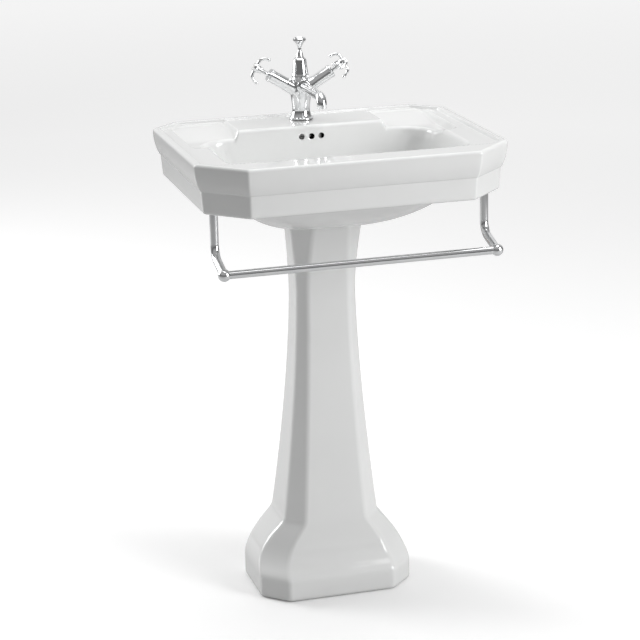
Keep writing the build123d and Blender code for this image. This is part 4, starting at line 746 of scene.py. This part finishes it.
# Faces are cleared only where they look back along the hole by this much
FACING = -0.2


def circle(centre, axis, radius):
    """Points round an axis. The same axis line gives the same points whichever way it runs."""
    axis = Vector(axis)
    side = Vector((0, 0, 1)) if abs(axis.z) < 0.5 else Vector((1, 0, 0))
    other = Vector((abs(axis.x), abs(axis.y), abs(axis.z))).cross(side)
    turns = [2 * pi * n / ROUND_COUNT for n in range(ROUND_COUNT)]
    return [Vector(centre) + radius * (cos(a) * side + sin(a) * other) for a in turns]


def punch(mesh, centre, axis, radius, depth, lip):
    """Opens a round hole with a rounded lip, looking along axis from outside, and lines it to a depth."""
    centre, axis = Vector(centre) * MM, Vector(axis)
    radius, depth, lip = radius * MM, depth * MM, lip * MM
    mesh.faces.ensure_lookup_table()
    tree = BVHTree.FromBMesh(mesh)
    middle = tree.ray_cast(centre, axis)[0]

    def from_axis(point):
        away = point - middle
        along = away.dot(axis)
        return (away - axis * along).length, along

    reach = radius + lip
    near = []
    for face in mesh.faces:
        spans = [from_axis(v.co) for v in face.verts]
        beside = min(away for away, _ in spans) < reach + CLEARED_BEYOND
        level = all(abs(along) < CLEARED_DEPTH for _, along in spans)
        if face.normal.dot(axis) < FACING and beside and level:
            near.append(face)
    bmesh.ops.delete(mesh, geom=near, context="FACES")

    def around_hole(vertex):
        away, along = from_axis(vertex.co)
        return away < reach + EDGE_BEYOND and abs(along) < EDGE_DEPTH

    edge = [e for e in mesh.edges if e.is_boundary and all(around_hole(v) for v in e.verts)]
    levels = [(reach, 0.0), (radius + lip * 0.3, lip * 0.25), (radius, lip), (radius, depth)]
    rings = []
    for size, down in levels:
        ring = []
        for place in circle(middle, axis, size):
            hit = tree.ray_cast(place - axis * RAY_START, axis)[0]
            along = (hit - place).dot(axis) if hit is not None and down < depth else 0.0
            ring.append(mesh.verts.new(place + axis * (along + down)))
        rings.append(ring)
    outer = rings[0]
    first = [mesh.edges.new((outer[n], outer[(n + 1) % len(outer)])) for n in range(len(outer))]
    bmesh.ops.bridge_loops(mesh, edges=edge + first)
    for upper, lower in zip(rings, rings[1:]):
        for n in range(len(upper)):
            m = (n + 1) % len(upper)
            mesh.faces.new((upper[n], upper[m], lower[m], lower[n]))
    return rings[-1]


def box_ring(centre, low, high):
    """Points on a rectangle's edge, in the directions of a circle's points about a place inside it."""
    points = []
    for n in range(ROUND_COUNT):
        turn = 2 * pi * n / ROUND_COUNT
        way = np.array((sin(turn), cos(turn)))
        room = np.where(way > 0, high - centre, centre - low)
        reach = min(r / max(abs(w), 1e-9) for r, w in zip(room, way))
        points.append(centre + way * reach)
    for corner in ((low[0], low[1]), (low[0], high[1]), (high[0], low[1]), (high[0], high[1])):
        nearest = min(range(ROUND_COUNT), key=lambda n: np.linalg.norm(points[n] - corner))
        points[nearest] = np.array(corner)
    return points


def overflow_passage(mesh, rings):
    """The closed passage behind the overflow holes, from the inner ends of their linings."""
    front = rings[0][0].co.y
    back = front + PASSAGE_DEPTH * MM
    half, top, bottom = PASSAGE_HALF * MM, PASSAGE_TOP * MM, PASSAGE_LOW * MM
    cell_low = (2 * OVERFLOW_HEIGHT - PASSAGE_TOP) * MM
    edges = [-half, -OVERFLOW_SPACING * MM / 2, OVERFLOW_SPACING * MM / 2, half]
    for ring, left, right, place in zip(rings, edges, edges[1:], (-1, 0, 1)):
        centre = np.array((place * OVERFLOW_SPACING, OVERFLOW_HEIGHT)) * MM
        around = box_ring(centre, np.array((left, cell_low)), np.array((right, top)))
        outer = [mesh.verts.new((x, front, z)) for x, z in around]
        for n in range(len(ring)):
            m = (n + 1) % len(ring)
            mesh.faces.new((ring[n], ring[m], outer[m], outer[n]))
    walls = [
        ((-half, front, bottom), (half, front, bottom), (half, front, cell_low), (-half, front, cell_low)),
        ((-half, back, bottom), (half, back, bottom), (half, back, top), (-half, back, top)),
        ((-half, front, bottom), (-half, back, bottom), (-half, back, top), (-half, front, top)),
        ((half, front, bottom), (half, back, bottom), (half, back, top), (half, front, top)),
        ((-half, front, top), (half, front, top), (half, back, top), (-half, back, top)),
        ((-half, front, bottom), (half, front, bottom), (half, back, bottom), (-half, back, bottom)),
    ]
    for wall in walls:
        mesh.faces.new([mesh.verts.new(point) for point in wall])


def close_rings(mesh, rings):
    """Quads between rings of vertices, and from the last ring back to the first."""
    count = len(rings[0])
    for upper, lower in zip(rings, rings[1:] + rings[:1]):
        for n in range(count):
            m = (n + 1) % count
            mesh.faces.new((upper[n], upper[m], lower[m], lower[n]))


def add_turned(mesh, centre, profile):
    """A closed ring of revolution about an upright line, from (radius, height) points."""
    turns = [2 * pi * n / ROUND_COUNT for n in range(ROUND_COUNT)]
    rings = []
    for radius, height in profile:
        places = [(centre[0] + radius * cos(a), centre[1] + radius * sin(a), height) for a in turns]
        rings.append([mesh.verts.new(Vector(p) * MM) for p in places])
    close_rings(mesh, rings)


def add_duct(mesh):
    """The housing of the overflow passage: a foot below the bowl and a channel up behind it."""
    half = DUCT_HALF
    inner = PASSAGE_HALF + DUCT_CLEARANCE
    back = DUCT_BACK - PASSAGE_DEPTH + DUCT_CLEARANCE
    sides = [[mesh.verts.new(Vector((x, y, z)) * MM) for y, z in DUCT_FOOT] for x in (-half, half)]
    ends = []
    for height, front in ((DUCT_LOW, DUCT_FRONT_LOW), (DUCT_TOP, DUCT_FRONT_TOP)):
        plan = [(-half, front), (-half, DUCT_BACK), (half, DUCT_BACK), (half, front)]
        plan += [(inner, front), (inner, back), (-inner, back), (-inner, front)]
        ends.append([mesh.verts.new(Vector((x, y, height)) * MM) for x, y in plan])
    for first, last in (sides, ends):
        faces = [mesh.faces.new(first), mesh.faces.new(list(reversed(last)))]
        for n in range(len(first)):
            m = (n + 1) % len(first)
            faces.append(mesh.faces.new((first[m], first[n], last[n], last[m])))
        edges = list({edge for face in faces for edge in face.edges})
        bmesh.ops.bevel(mesh, geom=edges, offset=DUCT_ROUNDING * MM, segments=3, profile=0.5, affect="EDGES")


def finish_mesh(mesh, name, slot, body, nodes, sharp):
    """Turns a mesh into a smooth piece that stands for construction nodes."""
    bmesh.ops.remove_doubles(mesh, verts=mesh.verts, dist=WELD)
    bmesh.ops.recalc_face_normals(mesh, faces=mesh.faces)
    for face in mesh.faces:
        face.smooth = True
    for edge in mesh.edges:
        if len(edge.link_faces) == 2 and edge.calc_face_angle(0) > radians(sharp):
            edge.smooth = False
    data = bpy.data.meshes.new(name)
    mesh.to_mesh(data)
    mesh.free()
    piece = bpy.data.objects.new(name, data)
    scene.collection.objects.link(piece)
    data.materials.append(FINISHES[slot])
    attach(piece, body)
    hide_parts(*nodes)


def make_basin():
    """The whole basin: top, bowl, underside, bands and its holes."""
    shape = Shape()
    basin_top(shape)
    lip = basin_underside(shape)
    basin_outside(shape, lip)
    mesh = shape.welded()
    linings = []
    for n in (-1, 0, 1):
        place = (n * OVERFLOW_SPACING, MID_BOWL_Y, OVERFLOW_HEIGHT)
        linings.append(punch(mesh, place, (0, 1, 0), OVERFLOW_RADIUS, PASSAGE_DEPTH, OVERFLOW_LIP))
    overflow_passage(mesh, linings)
    above, below = (0, TAP_Y, RIM + FAR_ABOVE), (0, TAP_Y, UNDER_DECK - FAR_BELOW)
    punch(mesh, above, (0, 0, -1), TAP_HOLE_RADIUS, PLATFORM - UNDER_DECK, HOLE_LIP)
    punch(mesh, below, (0, 0, 1), TAP_HOLE_RADIUS, SHORT_LINING, HOLE_LIP)
    for side in (-1, 1):
        x = side * WALL_HOLE_X
        behind = (x, HALF_DEPTH + FAR_BEHIND, WALL_HOLE_HEIGHT)
        inside = (x, HALF_DEPTH - SKIRT_WALL - FAR_INSIDE, WALL_HOLE_HEIGHT)
        punch(mesh, behind, (0, -1, 0), WALL_HOLE_RADIUS, SKIRT_WALL, HOLE_LIP)
        punch(mesh, inside, (0, 1, 0), WALL_HOLE_RADIUS, SHORT_LINING, HOLE_LIP)
        profile = [
            (ANCHOR_RADIUS, BOSS_TOP),
            (ANCHOR_RADIUS, BOSS_BOTTOM + 0.3 * BOSS_ROUNDING),
            (ANCHOR_RADIUS + 0.3 * BOSS_ROUNDING, BOSS_BOTTOM),
            (BOSS_RADIUS - BOSS_ROUNDING, BOSS_BOTTOM),
            (BOSS_RADIUS - 0.3 * BOSS_ROUNDING, BOSS_BOTTOM + 0.3 * BOSS_ROUNDING),
            (BOSS_RADIUS, BOSS_BOTTOM + BOSS_ROUNDING),
            (BOSS_RADIUS, BOSS_TOP - BOSS_TOP_DROP),
        ]
        add_turned(mesh, (side * RAIL_END_X, BRACKET_Y), profile)
    add_duct(mesh)
    finish_mesh(mesh, "basin_glazed", "white_glazed_ceramic", "root", ["basin"], BASIN_SHARP)


# Pedestal, in millimetres: CROWN, WAIST, KNEE and FOOT hold half width, corner cut, front and back
CROWN = np.array((73.8, 36.8, -6.0, 116.0))
WAIST = np.array((62.0, 19.5, 22.5, 121.0))
KNEE = np.array((100.0, 36.0, 4.0, 180.0))
FOOT = np.array((160.0, 49.0, -35.5, 197.0))
CROWN_HEIGHT = 758.0
WAIST_HEIGHT = 630.0
KNEE_HEIGHT = 149.0
FOOT_HEIGHT = 50.0
FLARE_POWER = 1.55
OUTWARD_POWER = 1.6
FORWARD_POWER = 5
PEDESTAL_WALL = 11.0
PEDESTAL_CORNER = 17.0
PEDESTAL_JOINT = 0.5
TOP_OVERLAP = 8.0
FOOT_ROUNDING = 8.0
EDGE_SOFTNESS = 8.0
SLOT_LOW = 97.0
SLOT_HIGH = 42.5
SLOT_TOP = 775.0
LUG_X = (103.0, 154.5)
LUG_Y = (117.0, 157.0)
LUG_HEIGHT = 16.0
LUG_HOLE_X = 113.0
LUG_HOLE_RADIUS = 4.0
LUG_HOLE_ROUNDING = 0.8
LUG_ROUNDING = 2.0
SIDE_COUNTS = (10, 6, 16, 6, 6)
ARC_SHARES = (-0.8, -0.55, -0.3, 0, 0.3, 0.55, 0.8)
FOOT_LEVELS = (12, 20, 30, 38, 43, 45.5, 47, 48.5, 50, 51.5, 53, 55, 58, 62, 67, 73, 80, 88)
KNEE_LEVELS = (96, 104, 112, 120, 128, 135, 141, 144.5, 146.5, 148, 149.5, 151, 153, 156, 161, 168)
SHAFT_LEVELS = (*np.linspace(176, 740, 58), 750, 758)


def pedestal_sizes(height):
    """Half width, corner cut, front and back of the pedestal at a height."""
    if height >= WAIST_HEIGHT:
        share = (height - WAIST_HEIGHT) / (CROWN_HEIGHT - WAIST_HEIGHT)
        return WAIST + (CROWN - WAIST) * share**FLARE_POWER
    if height >= KNEE_HEIGHT:
        share = (WAIST_HEIGHT - height) / (WAIST_HEIGHT - KNEE_HEIGHT)
        return WAIST + (KNEE - WAIST) * share**FLARE_POWER
    share = min((KNEE_HEIGHT - height) / (KNEE_HEIGHT - FOOT_HEIGHT), 1.0)
    sizes = KNEE + (FOOT - KNEE) * (1 - (1 - share) ** OUTWARD_POWER)
    sizes[2] = KNEE[2] + (FOOT[2] - KNEE[2]) * share**FORWARD_POWER
    return sizes


def soft_sizes(height):
    """The sizes averaged over a short height, which softens the edges at the knee and the foot."""
    near = [pedestal_sizes(height + EDGE_SOFTNESS * n / 4) for n in range(-4, 5)]
    return sum(near) / len(near)


def half_path(sizes, inset, slot, stop):
    """Right half of the pedestal's plan, from the middle of its front to the edge of its open back."""
    half, cut, front, back = sizes
    half, front, back = half - inset, front + inset, back - inset
    leg = cut - inset * (2 - sqrt(2))
    corners = [(0, front), (half - leg, front), (half, front + leg)]
    corners += [(half, back - leg), (half - leg, back), (0, back)]
    corners = [np.array(c, dtype=float) for c in corners]
    ways = [(b - a) / np.linalg.norm(b - a) for a, b in zip(corners, corners[1:])]
    reach = PEDESTAL_CORNER * tan(TURN)
    last = len(SIDE_COUNTS) - 1
    path = []
    for n, count in enumerate(SIDE_COUNTS):
        start = corners[n] + ways[n] * (reach if n else 0)
        end = corners[n + 1] - ways[n] * (reach if n < last else 0)
        path += [start + (end - start) * k / count for k in range(count + 1)]
        if n < last:
            for share in ARC_SHARES:
                gap = share * reach
                path.append(round_corner(corners[n + 1], ways[n], ways[n + 1], gap, PEDESTAL_CORNER))
    path = np.array(path)
    if slot < half:
        edge = min(half + back - leg - slot, back)
        behind = (np.arange(len(path)) > len(path) // 2) & (path[:, 0] < slot)
        path[behind] = (slot, edge)
    elif stop:
        behind = path[:, 1] > WASTE_Y
        path[behind] = (half, WASTE_Y)
    return path


def pedestal_ring(height, grow=0.0):
    """One level of the pedestal: outside, the edges of its open back, and inside."""
    sizes = soft_sizes(height)
    slot = SLOT_LOW + (SLOT_HIGH - SLOT_LOW) * (height + 1) / (SLOT_TOP + 1)
    outer = half_path(sizes, grow, slot, False)
    inner = half_path(sizes, PEDESTAL_WALL, slot, True)
    if slot < sizes[0] - PEDESTAL_WALL:
        step = np.array((slot, inner[-1][1]))
    else:
        step = np.array((slot, WASTE_Y))
    right = np.vstack([outer, [step], inner[::-1]])
    left = right[::-1][1:-1] * (-1, 1)
    return np.vstack([right, left]), len(outer)


def dish_height(ring):
    """Height of the dish's underside over each point of a ring."""
    heights = []
    for x, y in ring:
        low, high = 0.0, 1.0
        for _ in range(18):
            keep = (low + high) / 2
            half = DISH_FLOOR_RADIUS + (DISH_HALF - DISH_FLOOR_RADIUS) * keep
            near = WASTE_Y - DISH_FLOOR_RADIUS + (DISH_FRONT - WASTE_Y + DISH_FLOOR_RADIUS) * keep
            far = WASTE_Y + DISH_FLOOR_RADIUS + (DISH_BACK - WASTE_Y - DISH_FLOOR_RADIUS) * keep
            radius = hollow_corner(DISH_CORNER, keep, half, far - near)
            away_x = abs(x) - half + radius
            away_y = abs(y - (near + far) / 2) - (far - near) / 2 + radius
            gap = sqrt(max(away_x, 0) ** 2 + max(away_y, 0) ** 2) + min(max(away_x, away_y), 0) - radius
            low, high = (low, keep) if gap < 0 else (keep, high)
        heights.append(DISH_TOP - DISH_DEPTH * (1 - high**DISH_FULLNESS) ** (1 / DISH_FULLNESS))
    return np.array(heights)


def add_lug(mesh, side):
    """One floor lug inside the foot, with its screw hole."""
    centre = np.array((LUG_HOLE_X, (LUG_Y[0] + LUG_Y[1]) / 2))
    low, high = np.array((LUG_X[0], LUG_Y[0])), np.array((LUG_X[1], LUG_Y[1]))
    ways = [2 * pi * n / ROUND_COUNT for n in range(ROUND_COUNT)]

    def round_hole(radius):
        return [centre + radius * np.array((sin(a), cos(a))) for a in ways]

    top = LUG_HEIGHT
    levels = [
        (round_hole(LUG_HOLE_RADIUS), 0.0),
        (round_hole(LUG_HOLE_RADIUS), top - LUG_HOLE_ROUNDING),
        (round_hole(LUG_HOLE_RADIUS + LUG_HOLE_ROUNDING), top),
        (box_ring(centre, low + LUG_ROUNDING, high - LUG_ROUNDING), top),
        (box_ring(centre, low + 0.3 * LUG_ROUNDING, high - 0.3 * LUG_ROUNDING), top - 0.3 * LUG_ROUNDING),
        (box_ring(centre, low, high), top - LUG_ROUNDING),
        (box_ring(centre, low, high), 0.0),
    ]
    rings = [[mesh.verts.new(Vector((side * x, y, z)) * MM) for x, y in ring] for ring, z in levels]
    close_rings(mesh, rings)


def make_pedestal():
    """The hollow pedestal: foot, shoulder, shaft and open back, cut on top to the basin's dish."""
    shape = Shape()
    turns = np.linspace(0, pi / 2, 6)
    levels = [(FOOT_ROUNDING * (1 - cos(a)), FOOT_ROUNDING * (1 - sin(a))) for a in turns]
    levels += [(height, 0.0) for height in (*FOOT_LEVELS, *KNEE_LEVELS, *SHAFT_LEVELS)]
    rings = []
    for height, grow in levels:
        ring, count = pedestal_ring(height, grow)
        rings.append(raised(ring, height))
    ring, count = pedestal_ring(CROWN_HEIGHT + TOP_OVERLAP)
    rings.append(raised(ring, dish_height(ring) - PEDESTAL_JOINT))
    shape.skin(rings)
    total = len(ring)
    half = 2 * count + 1
    for level in (rings[0], rings[-1]):
        start = shape.add(level)
        for n in range(count - 1):
            right = (n, n + 1, half - 2 - n, half - 1 - n)
            left = tuple((total - k) % total if 0 < k < half - 1 else k for k in right)
            shape.faces.append(tuple(start + k for k in right))
            shape.faces.append(tuple(start + k for k in left))
        corner = (count - 1, count, count + 1)
        for turned in (corner, tuple(total - k for k in corner)):
            shape.faces.append(tuple(start + k for k in turned))
    mesh = shape.welded()
    for side in (-1, 1):
        add_lug(mesh, side)
    finish_mesh(mesh, "pedestal_glazed", "white_glazed_ceramic", "root", ["pedestal"], PEDESTAL_SHARP)


make_camera()
make_world()
make_floor()
for lamp in LAMPS:
    area_light(*lamp)
scene.view_settings.view_transform = "Standard"
finish_nodes()
make_basin()
make_pedestal()
